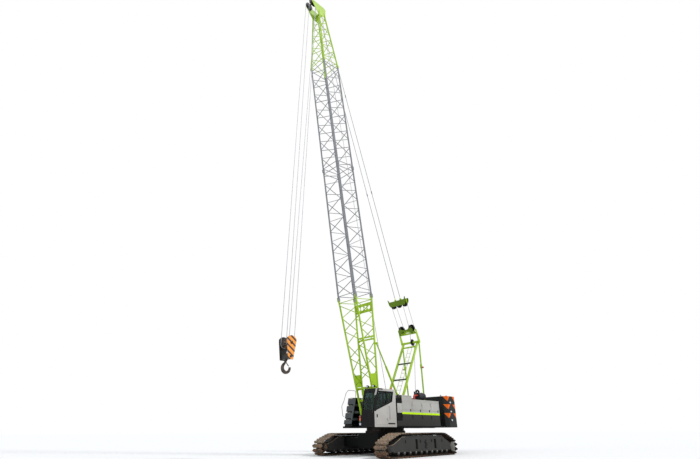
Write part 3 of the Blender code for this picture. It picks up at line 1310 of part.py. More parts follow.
def lattice(low, high, steps, bars):
    """Zigzag lacing on four faces from low to high, and level bars at stations."""
    rows = []
    pitch = (high - low) / steps
    for face in range(4):
        pair = (face, (face + 1) % 4)
        corner = chord_point(face, low)
        facing = (chord_point(face, high) - corner).cross(chord_point(pair[1], low) - corner)
        for step in range(steps):
            first, second = pair[step % 2], pair[(step + 1) % 2]
            rows.append(lacing_row(chord_point(first, low + pitch * step + NODE_GAP),
                                   chord_point(second, low + pitch * (step + 1) - NODE_GAP), facing))
        for station in bars:
            rows.append(lacing_row(chord_point(pair[0], station), chord_point(pair[1], station),
                                   facing))
    return rods(rows, LACING_RADIUS, 4)


def chords(low, high):
    """Four tubes between two stations."""
    return rods([(chord_point(index, low), chord_point(index, high), (1.0, 0.0, 0.0))
                 for index in range(4)], CHORD_RADIUS, 8)


def tongues(station):
    """The eyes at a section's upper end, which enter the next section's forks."""
    rows = []
    for index in range(4):
        at = chord_point(index, station)
        rows.append((at + Vector((-TONGUE_THICKNESS / 2, -LUG_WIDTH / 2, -JOINT_BACK - LUG_ROOT)),
                     at + Vector((TONGUE_THICKNESS / 2, LUG_WIDTH / 2, LUG_REACH))))
    return boxes(rows)


def forks(station):
    """The forks at a section's lower end."""
    cheeks = []
    inner = TONGUE_THICKNESS / 2 + SEAT_GAP
    outer = inner + CHEEK_THICKNESS
    for index in range(4):
        at = chord_point(index, station)
        for sign in (-1, 1):
            x0, x1 = sorted((sign * inner, sign * outer))
            cheeks.append((at + Vector((x0, -LUG_WIDTH / 2, -LUG_REACH)),
                           at + Vector((x1, LUG_WIDTH / 2, JOINT_BACK + LUG_ROOT))))
    return boxes(cheeks)


def cross_bar(station, first, second, radius=CROSS_BAR_RADIUS):
    """A thick bar from chord to chord at one station."""
    a, b = chord_point(first, station), chord_point(second, station)
    return rod(a, b, radius, 8, (0.0, 0.0, 1.0))


def build_boom_base(boom, paints):
    """The boom's foot section, with its foot plates, back plate and cross bars."""
    joint = BASE_LENGTH
    tubes = chords(FOOT_PLATE_LENGTH * 0.75, joint - JOINT_BACK)
    end = chord_point(2, FOOT_PLATE_LENGTH)
    edge = end.y + CHORD_RADIUS
    outline = arc((0.0, 0.0), FOOT_EYE_RADIUS - RUNNING_GAP, 180, 360, 8)
    outline += [(edge, FOOT_PLATE_LENGTH), (-edge, FOOT_PLATE_LENGTH)]
    feet = bmesh.new()
    for sign in (-1, 1):
        low, high = sorted((sign * (FOOT_CENTRE_X - FOOT_PLATE_WIDTH / 2),
                            sign * (FOOT_CENTRE_X + FOOT_PLATE_WIDTH / 2)))
        merge(feet, slab(outline, "x", low, high,
                         [bore_ring((0.0, 0.0), FOOT_PIN_RADIUS + RUNNING_GAP)]))
    beam = cross_bar(FOOT_PLATE_LENGTH, 0, 1)
    beam_back = cross_bar(FOOT_PLATE_LENGTH, 3, 2)
    bars = [cross_bar(BACKSTOP_STATION - CROSS_BAR_RADIUS * 1.5, 3, 2),
            cross_bar(BACKSTOP_STATION + CROSS_BAR_RADIUS * 1.5, 3, 2)]
    n = boom_half_depth(BACK_PLATE_END) - BACK_PLATE_THICKNESS
    half = boom_half_width(BACK_PLATE_START)
    middle = (BACK_PLATE_START + BACK_PLATE_END) / 2
    pitch = 2 * half / (BACK_PLATE_HOLES + 1)
    holes = [circle((-half + pitch * (index + 1), middle), BACK_PLATE_HOLE_RADIUS, 12)
             for index in range(BACK_PLATE_HOLES)]
    plate = slab([(-half, BACK_PLATE_START), (half, BACK_PLATE_START), (half, BACK_PLATE_END),
                  (-half, BACK_PLATE_END)], "y", n, n + BACK_PLATE_THICKNESS, holes)
    laces = lattice(BASE_LACING_START, joint - LACING_INSET, 6, (joint - FRAME_INSET,))
    node("boom_base", tubes, boom, paints["green"],
         add=[feet, beam, beam_back, *bars, plate, laces, tongues(joint)])


def build_boom_insert(name, start, boom, paints):
    """A parallel section of the boom."""
    end = start + INSERT_LENGTH
    tubes = chords(start + JOINT_BACK, end - JOINT_BACK)
    laces = lattice(start + LACING_INSET, end - LACING_INSET, 12,
                    (start + FRAME_INSET, end - FRAME_INSET))
    node(name, tubes, boom, paints["lattice"], add=[laces, tongues(end), forks(start)])


def head_plate():
    """The outline of the plates that hold the head's shafts, (n, s)."""
    front = (HEAD_SHAFT_N, HEAD_SHAFT_S)
    rear = (GUIDE_SHAFT_N, GUIDE_SHAFT_S)
    low_front = chord_point(0, HEAD_PLATE_LOW_S).y - CHORD_RADIUS
    low_rear = chord_point(2, HEAD_PLATE_LOW_S).y + CHORD_RADIUS
    return (arc(front, HEAD_EYE_RADIUS, 90, 225, 6) + [(low_front, HEAD_PLATE_LOW_S),
            (low_rear, HEAD_PLATE_LOW_S)] + arc(rear, HEAD_EYE_RADIUS * 1.2, -30, 90, 6))


def build_boom_head(boom, paints):
    """The boom's top section, its side plates, and the sheaves on their shafts."""
    start = BASE_LENGTH + 2 * INSERT_LENGTH
    end = start + HEAD_LENGTH
    tubes = chords(start + JOINT_BACK, end)
    laces = lattice(start + LACING_INSET, HEAD_PLATE_LOW_S - NODE_GAP, 8, (start + FRAME_INSET,))
    half = HEAD_TOP_HALF_X
    plates = bmesh.new()
    for sign in (-1, 1):
        low, high = sorted((sign * (half + HEAD_PLATE_THICKNESS / 2),
                            sign * (half - HEAD_PLATE_THICKNESS / 2)))
        merge(plates, slab(head_plate(), "x", low, high,
                           [bore_ring((HEAD_SHAFT_N, HEAD_SHAFT_S),
                                 HEAD_SHAFT_RADIUS + RUNNING_GAP)]))
    guide = rod((-half, GUIDE_SHAFT_N, GUIDE_SHAFT_S), (half, GUIDE_SHAFT_N, GUIDE_SHAFT_S),
                HEAD_SHAFT_RADIUS, 16)
    sheaves = bmesh.new()
    for place in GUIDE_SHEAVE_PLACES:
        merge(sheaves, rod((place - HEAD_SHEAVE_HALF, GUIDE_SHAFT_N, GUIDE_SHAFT_S),
                           (place + HEAD_SHEAVE_HALF, GUIDE_SHAFT_N, GUIDE_SHAFT_S),
                           GUIDE_SHEAVE_RADIUS, 16))
    tie = rod((-half, (HEAD_TOP_FRONT_N + HEAD_TOP_REAR_N) / 2, HEAD_PLATE_LOW_S + CROSS_BAR_RADIUS),
              (half, (HEAD_TOP_FRONT_N + HEAD_TOP_REAR_N) / 2, HEAD_PLATE_LOW_S + CROSS_BAR_RADIUS),
              CROSS_BAR_RADIUS, 8)
    node("boom_head", tubes, boom, paints["green"],
         add=[laces, plates, guide, sheaves, tie, forks(start)])
    spin = axis("head_sheave_axis", boom, (0.0, HEAD_SHAFT_N, HEAD_SHAFT_S),
                math.radians(LUFF_DEGREES - 90))
    node("head_sheaves", sheave_set(HEAD_SHEAVE_RADIUS, HEAD_SHEAVE_HALF, HEAD_SHEAVE_PLACES,
                                    HEAD_SHAFT_RADIUS, half + HEAD_PLATE_THICKNESS / 2), spin,
         paints["black"], smooth=True)


def sheave_set(radius, half, places, shaft, reach):
    """Two grooved wheels on one shaft, turned as one piece."""
    groove = radius - ROPE_GROOVE
    profile = [(0.0, reach)]
    profile.append((shaft, reach))
    for place in sorted(places, reverse=True):
        profile += [(shaft, place + half), (radius, place + half), (groove, place),
                    (radius, place - half), (shaft, place - half)]
    profile += [(shaft, -reach), (0.0, -reach)]
    return turned(profile, (0.0, 0.0, 0.0))


def build_backstops(boom, paints):
    """The two struts behind the boom that stop it at its steepest."""
    lean = math.radians(LUFF_DEGREES)
    along = Vector((-math.cos(lean), math.sin(lean)))
    back = Vector((math.sin(lean), math.cos(lean)))
    foot = backstop_line()[0] - Vector((FOOT_Y, FOOT_Z))
    start = Vector((foot.dot(back), foot.dot(along)))
    end, out = backstop_head()
    for prefix, sign in (("left", 1), ("right", -1)):
        x = sign * BACKSTOP_X
        sleeve_end = start + (end - start) * BACKSTOP_SLEEVE_SHARE
        sleeve = rod((x, *start), (x, *sleeve_end), BACKSTOP_RADIUS, 10)
        inner = rod((x, *(sleeve_end - (end - start) * BACKSTOP_SLEEVE_SHARE / 4)), (x, *end),
                    BACKSTOP_ROD_RADIUS, 8)
        eye = rod((x - BACKSTOP_RADIUS, *end), (x + BACKSTOP_RADIUS, *end), BACKSTOP_RADIUS, 8,
                  (0.0, *out))
        node(f"{prefix}_backstop", sleeve, boom, paints["green"], add=[inner, eye])


def build_pendants(boom, paints):
    """The upper spreader and the two pendant lines up to the boom head."""
    lean = math.radians(LUFF_DEGREES)
    along = Vector((-math.cos(lean), math.sin(lean)))
    back = Vector((math.sin(lean), math.cos(lean)))
    low = Vector((SPREADER_Y - FOOT_Y, SPREADER_Z - FOOT_Z))
    start = Vector((low.dot(back), low.dot(along)))
    end = Vector((GUIDE_SHAFT_N, GUIDE_SHAFT_S))
    way = (end - start).normalized()
    turn = math.atan2(way.x, way.y)
    frame = axis("spreader_frame", boom, (0.0, *start), -turn)
    half = SPREADER_HALF_WIDTH
    plate = slab([(-half, -SPREADER_HEIGHT / 2), (half, -SPREADER_HEIGHT / 2),
                  (half, SPREADER_HEIGHT / 2), (-half, SPREADER_HEIGHT / 2)], "y",
                 -SPREADER_THICKNESS / 2, SPREADER_THICKNESS / 2)
    sheaves = bmesh.new()
    for place in SPREADER_SHEAVES:
        merge(sheaves, rod((place - SPREADER_SHEAVE_HALF, 0.0, -SPREADER_HEIGHT / 2),
                           (place + SPREADER_SHEAVE_HALF, 0.0, -SPREADER_HEIGHT / 2),
                           SPREADER_SHEAVE_RADIUS, 16))
    lugs = boxes([((place - SPREADER_LUG_HALF, -SPREADER_LUG_HALF, SPREADER_HEIGHT / 2 - BITE),
                   (place + SPREADER_LUG_HALF, SPREADER_LUG_HALF,
                    SPREADER_HEIGHT / 2 + SPREADER_LUG_HEIGHT))
                  for place in (-PENDANT_HALF_SPREAD, PENDANT_HALF_SPREAD)])
    length = (end - start).length
    eyes = bmesh.new()
    for place in (-PENDANT_HALF_SPREAD, PENDANT_HALF_SPREAD):
        merge(eyes, slab(circle((0.0, length), PENDANT_EYE_RADIUS, 12), "x",
                         place - PENDANT_EYE_THICKNESS / 2, place + PENDANT_EYE_THICKNESS / 2,
                         [bore_ring((0.0, length), HEAD_SHAFT_RADIUS + SEAT_GAP)]))
    root = length - (PENDANT_EYE_RADIUS + HEAD_SHAFT_RADIUS) / 2
    lines = rods([((place, 0.0, SPREADER_HEIGHT / 2), (place, 0.0, root), (1.0, 0.0, 0.0))
                  for place in (-PENDANT_HALF_SPREAD, PENDANT_HALF_SPREAD)], PENDANT_RADIUS, 6)
    pitch = length / (PENDANT_JOINTS + 1)
    couplings = rods([((place, 0.0, pitch * index - COUPLING_LENGTH / 2),
                       (place, 0.0, pitch * index + COUPLING_LENGTH / 2), (1.0, 0.0, 0.0))
                      for place in (-PENDANT_HALF_SPREAD, PENDANT_HALF_SPREAD)
                      for index in range(1, PENDANT_JOINTS + 1)], COUPLING_RADIUS, 6)
    node("pendants", plate, frame, paints["green"],
         add=[sheaves, lugs, lines, couplings, eyes])


def build_hoist(boom, paints):
    """The hoist rope's falls, the hook block on them and the hook under it."""
    turn = math.radians(90 - LUFF_DEGREES)
    falls = axis("falls_axis", boom, (0.0, HEAD_SHAFT_N, HEAD_SHAFT_S), -turn)
    top_r = HEAD_SHEAVE_RADIUS - ROPE_GROOVE + ROPE_SEAT
    low_r = BLOCK_SHEAVE_RADIUS - ROPE_GROOVE + ROPE_SEAT
    left, right = BLOCK_SHEAVE_PLACES

    def over(x, start, end, count):
        return [(x, y, z) for y, z in arc((0.0, 0.0), top_r, start, end, count)]

    def under(x):
        return [(x, y, z - FALL_LENGTH) for y, z in arc((0.0, 0.0), low_r, 180, 360, 8)]

    path = over(left, 67.5, 180, 5) + under(left) + over(right, 0, 180, 8) + under(right)
    path.append((BECKET_X, top_r, 0.0))
    node("hoist_ropes", tube(path, ROPE_RADIUS), falls, paints["rope"])
    block = axis("hook_block_axis", falls, (0.0, 0.0, -FALL_LENGTH))
    half = BLOCK_HALF_WIDTH
    ring = arc((0.0, 0.0), BLOCK_TOP, 30, 150, 8)
    outline = ring + [(-BLOCK_HALF_DEPTH, 0.0), (-BLOCK_FOOT_HALF, BLOCK_BOTTOM),
                      (BLOCK_FOOT_HALF, BLOCK_BOTTOM), (BLOCK_HALF_DEPTH, 0.0)]
    hole = bore_ring((0.0, 0.0), BLOCK_PIN_RADIUS + RUNNING_GAP, 24)
    cheeks = bmesh.new()
    for sign in (-1, 1):
        low, high = sorted((sign * half, sign * (half - BLOCK_CHEEK_THICKNESS)))
        merge(cheeks, slab(outline, "x", low, high, [hole]))
    inside = half - BLOCK_CHEEK_THICKNESS
    head = box((-inside - BITE, -CROSSHEAD_RADIUS, CROSSHEAD_Z - CROSSHEAD_RADIUS),
               (inside + BITE, CROSSHEAD_RADIUS, CROSSHEAD_Z + CROSSHEAD_RADIUS))
    clear = (HOOK_SHANK_RADIUS + RUNNING_GAP) / math.cos(math.pi / 16)
    bore = rod((0.0, 0.0, CROSSHEAD_Z - 2 * CROSSHEAD_RADIUS),
               (0.0, 0.0, CROSSHEAD_Z + 2 * CROSSHEAD_RADIUS), clear, 16)
    node("hook_block", cheeks, block, paints["dark"], add=[head], cut=[bore])
    spin = axis("block_sheave_axis", block, (0.0, 0.0, 0.0))
    node("block_sheaves", sheave_set(BLOCK_SHEAVE_RADIUS, BLOCK_SHEAVE_HALF, BLOCK_SHEAVE_PLACES,
                                     BLOCK_PIN_RADIUS, half), spin, paints["black"], smooth=True)
    build_hook(block, paints)


def build_hook(block, paints):
    """The hook, hung by its shank and nut in the block's crosshead."""
    swivel = axis("hook_axis", block, (0.0, 0.0, 0.0))
    nut_low = CROSSHEAD_Z + CROSSHEAD_RADIUS + SEAT_GAP
    shank_low = CROSSHEAD_Z - CROSSHEAD_RADIUS - HOOK_SHANK_RADIUS
    shank = rod((0.0, 0.0, shank_low), (0.0, 0.0, nut_low + OVERRUN), HOOK_SHANK_RADIUS, 16)
    nut = rod((0.0, 0.0, nut_low), (0.0, 0.0, nut_low + OVERRUN), HOOK_NUT_RADIUS, 6)
    centre_z = CROSSHEAD_Z - CROSSHEAD_RADIUS - HOOK_DROP
    outer = arc((0.0, centre_z), HOOK_BOWL_RADIUS + HOOK_THICKNESS, 115, 370, 12)
    inner = arc((HOOK_OFFSET, centre_z + HOOK_OFFSET), HOOK_BOWL_RADIUS - HOOK_THICKNESS / 2,
                370, 130, 10)
    neck = CROSSHEAD_Z - CROSSHEAD_RADIUS - BITE
    outline = [(-HOOK_SHANK_RADIUS, neck)] + outer + inner + [(HOOK_SHANK_RADIUS, neck)]
    bowl = slab(outline, "x", -HOOK_THICKNESS / 2, HOOK_THICKNESS / 2)
    node("hook", shank, swivel, paints["iron"], add=[nut, bowl])


def centre_over_origin(root):
    """Move the crane along Y so that its box is centred over the origin."""
    bpy.context.view_layer.update()
    graph = bpy.context.evaluated_depsgraph_get()
    ends = []
    for thing in collection(CRANE).objects:
        if thing.type == "MESH":
            ready = thing.evaluated_get(graph)
            places = [(ready.matrix_world @ point.co).y for point in ready.data.vertices]
            ends += [min(places), max(places)]
    root.location.y = -(min(ends) + max(ends)) / 2


def main():
    """Build the crane from the ground up."""
    clear_scene()
    collection(CRANE)
    collection("cutters", hidden=True)
    paints = {
        "green": paint("lime_green_paint", (0.36, 0.62, 0.04), 0.4),
        "lattice": paint("grey_lattice_paint", (0.42, 0.43, 0.42), 0.45),
        "panel": paint("light_grey_panel", (0.62, 0.61, 0.57), 0.45),
        "dark": paint("dark_grey_paint", (0.07, 0.07, 0.075), 0.55),
        "weight": paint("counterweight_paint", (0.05, 0.05, 0.055), 0.6),
        "black": paint("black_paint", (0.015, 0.015, 0.017), 0.5),
        "frame": paint("crawler_frame_paint", (0.05, 0.05, 0.052), 0.6),
        "track": paint("track_steel", (0.10, 0.075, 0.06), 0.75, 0.4),
        "glass": paint("tinted_glass", (0.05, 0.09, 0.09), 0.08),
        "amber": paint("amber_lens", (0.9, 0.35, 0.03), 0.3),
        "grey": paint("rail_grey", (0.3, 0.31, 0.32), 0.45),
        "rope": paint("wire_rope", (0.35, 0.35, 0.37), 0.45, 0.8),
        "iron": paint("hook_iron", (0.06, 0.05, 0.045), 0.6, 0.5),
    }
    root = axis("crane", None, (0.0, 0.0, 0.0))
    build_car_body(root, paints)
    for side in (1, -1):
        build_track(side, root, paints)
        build_side_frame(side, root, paints)
        build_end_wheels(side, root, paints)
    slew = axis("slew_axis", root, (0.0, 0.0, 0.0))
    build_revolving_frame(slew, paints)
    build_counterweight(slew, paints)
    for side in (1, -1):
        build_housing(side, slew, paints)
    build_cab(slew, paints)
    build_step_box(slew, paints)
    build_winches(slew, paints)
    build_engine(slew, paints)
    build_gantry(slew, paints)
    boom = axis("boom_axis", slew, (0.0, FOOT_Y, FOOT_Z), math.radians(90 - LUFF_DEGREES))
    build_boom_base(boom, paints)
    build_boom_insert("boom_insert_lower", BASE_LENGTH, boom, paints)
    build_boom_insert("boom_insert_upper", BASE_LENGTH + INSERT_LENGTH, boom, paints)
    build_boom_head(boom, paints)
    build_backstops(boom, paints)
    build_pendants(boom, paints)
    build_hoist(boom, paints)
    centre_over_origin(root)


main()
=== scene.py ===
"""Finishes, rigging, lamps and markings of a lattice-boom crawler crane."""

import logging
import math
from dataclasses import dataclass
from enum import Enum
from typing import Any, Callable, Sequence

import bmesh
import bpy
from mathutils import Matrix, Vector


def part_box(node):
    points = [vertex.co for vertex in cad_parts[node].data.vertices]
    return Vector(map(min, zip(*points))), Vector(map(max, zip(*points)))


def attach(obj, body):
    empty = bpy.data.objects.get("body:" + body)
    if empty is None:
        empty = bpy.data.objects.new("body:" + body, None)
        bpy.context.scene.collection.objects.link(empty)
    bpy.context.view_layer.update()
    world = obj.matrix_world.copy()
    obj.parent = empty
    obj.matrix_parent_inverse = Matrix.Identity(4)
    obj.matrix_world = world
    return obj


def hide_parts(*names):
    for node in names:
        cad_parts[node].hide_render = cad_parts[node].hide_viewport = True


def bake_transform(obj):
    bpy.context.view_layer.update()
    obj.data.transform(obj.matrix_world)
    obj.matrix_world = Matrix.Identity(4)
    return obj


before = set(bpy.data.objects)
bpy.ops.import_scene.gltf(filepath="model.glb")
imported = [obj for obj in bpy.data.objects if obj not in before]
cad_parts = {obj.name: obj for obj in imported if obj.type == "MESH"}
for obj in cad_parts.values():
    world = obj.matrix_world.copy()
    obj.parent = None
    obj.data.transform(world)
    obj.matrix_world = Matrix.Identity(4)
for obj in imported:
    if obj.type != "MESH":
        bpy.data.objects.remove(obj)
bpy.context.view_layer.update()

LOG = logging.getLogger("crawler_crane")
Colour = tuple[float, float, float]
Point = tuple[float, float, float]

SLEW_Y = 1.059191
BOOM_FOOT_Y = -1.186
BOOM_FOOT_Z = 1.80
LUFF_DEGREES = 79.98
BLOCK_Z = 5.0616
FALLS_Y = -6.1792
PENDANT_BACK = 0.42
PENDANT_ALONG = 30.95
GANTRY_HEAD = (3.05, 6.50)
UPPER_SPREADER = (2.02, 9.05)
BAIL_LEAN = 20.4
TRACK_X = 2.255
WHEEL_Y = 2.76
WHEEL_Z = 0.40
SIDES = ("left", "right")
LIME = (0.385, 0.620, 0.006)
BRIGHT_LIME = (0.58, 0.90, 0.010)
# Painted shade: the dark green of lime bars that lie in shade.
PAINTED_SHADE_DARK_GREEN = (0.035, 0.075, 0.030)
LIGHT_GREY = (0.50, 0.49, 0.455)
DARK_PANEL = (0.040, 0.039, 0.037)
BLACK = (0.0035, 0.0035, 0.004)
ORANGE = (0.86, 0.15, 0.006)
DUST = (0.30, 0.25, 0.19)
WEIGHT_BLACK = (0.016, 0.018, 0.018)
CAMERA_ANGLES = (44.54, 27.57, -0.285)
CAMERA_PLACE = (15.995, -17.972, 1.162)
FOCAL_PIXELS = 386.98
PHOTO_WIDTH = 700.0
SENSOR_WIDTH = 36.0


class Body(str, Enum):
    """The moving bodies that new pieces ride on."""

    UNDERCARRIAGE = "undercarriage"
    UPPERWORKS = "upperworks"
    BOOM = "boom"
    FALLS = "falls"
    BLOCK = "hook_block"
    HOOK = "hook"
    CAB_DOOR = "cab_door"


class Slot(str, Enum):
    """Names of the record's material slots."""

    LIME = "lime_paint"
    PANEL = "panel_paint"
    DARK = "dark_paint"
    BLACK = "black_paint"
    CRAWLER = "crawler_paint"
    GLASS = "glass"
    AMBER = "amber_lens"
    RAIL = "rail_paint"
    ROPE = "wire_rope"
    HOOK = "hook_iron"
    SEAT = "seat_cover"


def spot(x: float, y: float, z: float) -> Vector:
    """Return a place given from the slewing axis at ground level."""
    return Vector((x, y + SLEW_Y, z))


def boom_spot(x: float, back: float, along: float) -> Vector:
    """Return a place given from the boom's foot pin, behind and along it."""
    lean = math.radians(LUFF_DEGREES)
    y = BOOM_FOOT_Y - along * math.cos(lean) + back * math.sin(lean)
    z = BOOM_FOOT_Z + along * math.sin(lean) + back * math.cos(lean)
    return spot(x, y, z)


def scaled(colour: Colour, share: float) -> Colour:
    """Return a colour with each channel multiplied by a share."""
    return tuple(channel * share for channel in colour)


class Signal:
    """A shader value that builds Math nodes when it is used in an expression."""

    def __init__(self, tree: bpy.types.NodeTree, socket: bpy.types.NodeSocket) -> None:
        """Wrap a socket of a node tree."""
        self.tree = tree
        self.socket = socket

    def join(self, operation: str, *values: "Signal | float", clamp: bool = False) -> "Signal":
        """Return the result of one Math node.

        Args:
            operation: the Math node's operation.
            values: signals or numbers, in the order of its sockets.
            clamp: whether the result is kept between 0 and 1.

        Returns:
            The node's value as a signal.
        """
        node = self.tree.nodes.new("ShaderNodeMath")
        node.operation = operation
        node.use_clamp = clamp
        for slot, value in zip(node.inputs, values):
            if isinstance(value, Signal):
                self.tree.links.new(value.socket, slot)
            else:
                slot.default_value = value
        return Signal(self.tree, node.outputs[0])

    def __add__(self, other: "Signal | float") -> "Signal":
        """Add a value."""
        return self.join("ADD", self, other)

    def __radd__(self, other: float) -> "Signal":
        """Add this to a number."""
        return self.join("ADD", other, self)

    def __sub__(self, other: "Signal | float") -> "Signal":
        """Take a value away."""
        return self.join("SUBTRACT", self, other)

    def __rsub__(self, other: float) -> "Signal":
        """Take this from a number."""
        return self.join("SUBTRACT", other, self)

    def __mul__(self, other: "Signal | float") -> "Signal":
        """Multiply by a value."""
        return self.join("MULTIPLY", self, other)

    def __rmul__(self, other: float) -> "Signal":
        """Multiply a number by this."""
        return self.join("MULTIPLY", other, self)

    def above(self, limit: "Signal | float") -> "Signal":
        """Return 1 where this is greater than the limit."""
        return self.join("GREATER_THAN", self, limit)

    def below(self, limit: "Signal | float") -> "Signal":
        """Return 1 where this is less than the limit."""
        return self.join("LESS_THAN", self, limit)

    def between(self, low: float, high: float) -> "Signal":
        """Return 1 where this lies between two limits."""
        return self.above(low) * self.below(high)

    def size(self) -> "Signal":
        """Return the value without its sign."""
        return self.join("ABSOLUTE", self)

    def root(self) -> "Signal":
        """Return the square root."""
        return self.join("SQRT", self)

    def fraction(self) -> "Signal":
        """Return the part after the decimal point."""
        return self.join("FRACT", self)

    def wave(self) -> "Signal":
        """Return the sine."""
        return self.join("SINE", self)

    def ramp(self, low: float, high: float) -> "Signal":
        """Return the value spread from 0 at low to 1 at high."""
        return self.join("MULTIPLY", self - low, 1 / (high - low), clamp=True)

    def most(self, other: "Signal | float") -> "Signal":
        """Return the larger of two values."""
        return self.join("MAXIMUM", self, other)

    def least(self, other: "Signal | float") -> "Signal":
        """Return the smaller of two values."""
        return self.join("MINIMUM", self, other)


class Recipe:
    """One material's node tree while it is put together."""

    def __init__(self, name: str, **sockets: Any) -> None:
        """Start a material with a Principled shader.

        Args:
            name: the material's name.
            sockets: values for the shader's sockets, underscores for spaces.
        """
        self.material = bpy.data.materials.new(name)
        self.material.use_nodes = True
        self.tree = self.material.node_tree
        self.tree.nodes.clear()
        self.output = self.tree.nodes.new("ShaderNodeOutputMaterial")
        self.shader = self.tree.nodes.new("ShaderNodeBsdfPrincipled")
        self.tree.links.new(self.shader.outputs[0], self.output.inputs[0])
        self.coordinates = self.tree.nodes.new("ShaderNodeTexCoord").outputs["Object"]
        for key, value in sockets.items():
            self.shader.inputs[key.replace("_", " ")].default_value = value

    def node(self, kind: str, settings: dict[str, Any], inputs: dict[Any, Any]) -> bpy.types.Node:
        """Add a node with its settings first, then its sockets' values or links.

        Args:
            kind: the node's type.
            settings: properties of the node.
            inputs: socket names or numbers with values, sockets or signals.

        Returns:
            The new node.
        """
        node = self.tree.nodes.new(kind)
        for key, value in settings.items():
            setattr(node, key, value)
        for key, value in inputs.items():
            if isinstance(value, Signal):
                value = value.socket
            if isinstance(value, bpy.types.NodeSocket):
                self.tree.links.new(value, node.inputs[key])
            else:
                node.inputs[key].default_value = value
        return node

    def place(self) -> tuple[Signal, Signal, Signal]:
        """Return the surface point's x, y and z, y counted from the slewing axis."""
        parts = self.node("ShaderNodeSeparateXYZ", {}, {0: self.coordinates})
        x, y, z = (Signal(self.tree, socket) for socket in parts.outputs)
        return x, y - SLEW_Y, z

    def noise(self, scale: float, detail: float = 3.0,
              stretch: Point = (1.0, 1.0, 1.0)) -> Signal:
        """Return a noise value over the surface.

        Args:
            scale: how fine the noise is, per metre.
            detail: the number of finer layers.
            stretch: scale along each axis.

        Returns:
            The noise as a signal from 0 to 1.
        """
        return self.texture("ShaderNodeTexNoise", stretch, Scale=scale, Detail=detail)

    def cells(self, scale: float, stretch: Point = (1.0, 1.0, 1.0)) -> Signal:
        """Return the distance to the nearest of scattered points."""
        return self.texture("ShaderNodeTexVoronoi", stretch, Scale=scale)

    def texture(self, kind: str, stretch: Point, **inputs: float) -> Signal:
        """Return a texture node's first value, stretched along the axes."""
        mapping = self.node("ShaderNodeMapping", {}, {"Vector": self.coordinates,
                                                      "Scale": stretch})
        texture = self.node(kind, {}, {"Vector": mapping.outputs[0], **inputs})
        return Signal(self.tree, texture.outputs[0])

    def tint(self, factor: Signal, first: Any, second: Any) -> bpy.types.NodeSocket:
        """Mix two colours by a factor and return the mixed colour."""
        first = (*first, 1.0) if isinstance(first, tuple) else first
        second = (*second, 1.0) if isinstance(second, tuple) else second
        mix = self.node("ShaderNodeMix", {"data_type": "RGBA"}, {0: factor, 6: first, 7: second})
        return mix.outputs[2]

    def polygon(self, first: Signal, second: Signal,
                corners: Sequence[tuple[float, float]]) -> Signal:
        """Return 1 inside a convex outline whose corners run anticlockwise.

        Args:
            first: the coordinate along the outline's first axis.
            second: the coordinate along its second axis.
            corners: the outline's corners.

        Returns:
            A mask signal.
        """
        inside = None
        for index, (a, b) in enumerate(corners):
            c, d = corners[(index + 1) % len(corners)]
            side = (second - b) * (c - a) - (first - a) * (d - b)
            inside = side if inside is None else inside.least(side)
        return inside.above(0.0)

    def close(self, colour: Any, roughness: "Signal | float", height: Signal,
              strength: float, distance: float) -> bpy.types.Material:
        """Link colour, roughness and relief to the shader and return the material."""
        self.tree.links.new(colour, self.shader.inputs["Base Color"])
        if isinstance(roughness, Signal):
            self.tree.links.new(roughness.socket, self.shader.inputs["Roughness"])
        bump = self.node("ShaderNodeBump", {}, {"Strength": strength, "Distance": distance,
                                                "Height": height})
        self.tree.links.new(bump.outputs[0], self.shader.inputs["Normal"])
        return self.material


Zone = Callable[[Recipe, Any], Any]


@dataclass(frozen=True)
class PaintFinish:
    """Sprayed paint with cloudy shade, settled dust and small chips."""

    name: str
    colour: Colour
    roughness: float = 0.42
    metallic: float = 0.0
    dust: float = 0.18
    chips: float = 0.5
    coat: float = 0.05
    gloss: float = 0.35
    zones: tuple[Zone, ...] = ()

    def make(self) -> bpy.types.Material:
        """Build the paint's material."""
        recipe = Recipe(self.name, Metallic=self.metallic, Coat_Weight=self.coat,
                        Coat_Roughness=0.25, Specular_IOR_Level=self.gloss)
        cloud = recipe.noise(0.9, 3.0)
        grain = recipe.noise(14.0, 5.0)
        shade = scaled(self.colour, 0.84)
        colour = recipe.tint(cloud.ramp(0.35, 0.68), shade, self.colour)
        for zone in self.zones:
            colour = zone(recipe, colour)
        streaks = recipe.noise(6.0, 4.0, (1.0, 1.0, 0.12))
        dust = (streaks.ramp(0.52, 0.78) * grain.ramp(0.35, 0.7)) * self.dust
        colour = recipe.tint(dust, colour, DUST)
        chip = recipe.noise(46.0, 3.0).above(0.735) * grain.above(0.55) * self.chips
        colour = recipe.tint(chip, colour, (0.05, 0.04, 0.035))
        roughness = (grain * 0.18 + dust * 0.5) + (self.roughness - 0.09)
        return recipe.close(colour, roughness, grain * 0.6 - chip, 0.12, 0.004)


@dataclass(frozen=True)
class TrackFinish:
    """Cast crawler steel with rust and dried mud."""

    name: str
    steel: Colour = (0.022, 0.017, 0.014)
    rust: Colour = (0.15, 0.058, 0.026)
    mud: Colour = (0.46, 0.36, 0.26)

    def make(self) -> bpy.types.Material:
        """Build the crawler steel's material."""
        recipe = Recipe(self.name, Metallic=0.1, Specular_IOR_Level=0.15)
        _, y, z = recipe.place()
        patch = recipe.noise(3.4, 4.0)
        grain = recipe.noise(22.0, 5.0)
        front = (y * -1.0).ramp(-0.6, 1.8)
        rust = patch.ramp(0.44, 0.60) * (front * 0.75 + 0.25)
        colour = recipe.tint(rust, self.steel, self.rust)
        upper = z.ramp(0.25, 0.80)
        mud = grain.ramp(0.36, 0.60) * (front * (upper * 0.72 + 0.16) + 0.07)
        colour = recipe.tint(mud, colour, self.mud)
        crumbs = recipe.cells(30.0).ramp(0.1, 0.5)
        roughness = mud * 0.25 + 0.62
        return recipe.close(colour, roughness, grain + crumbs * 0.5, 0.5, 0.012)


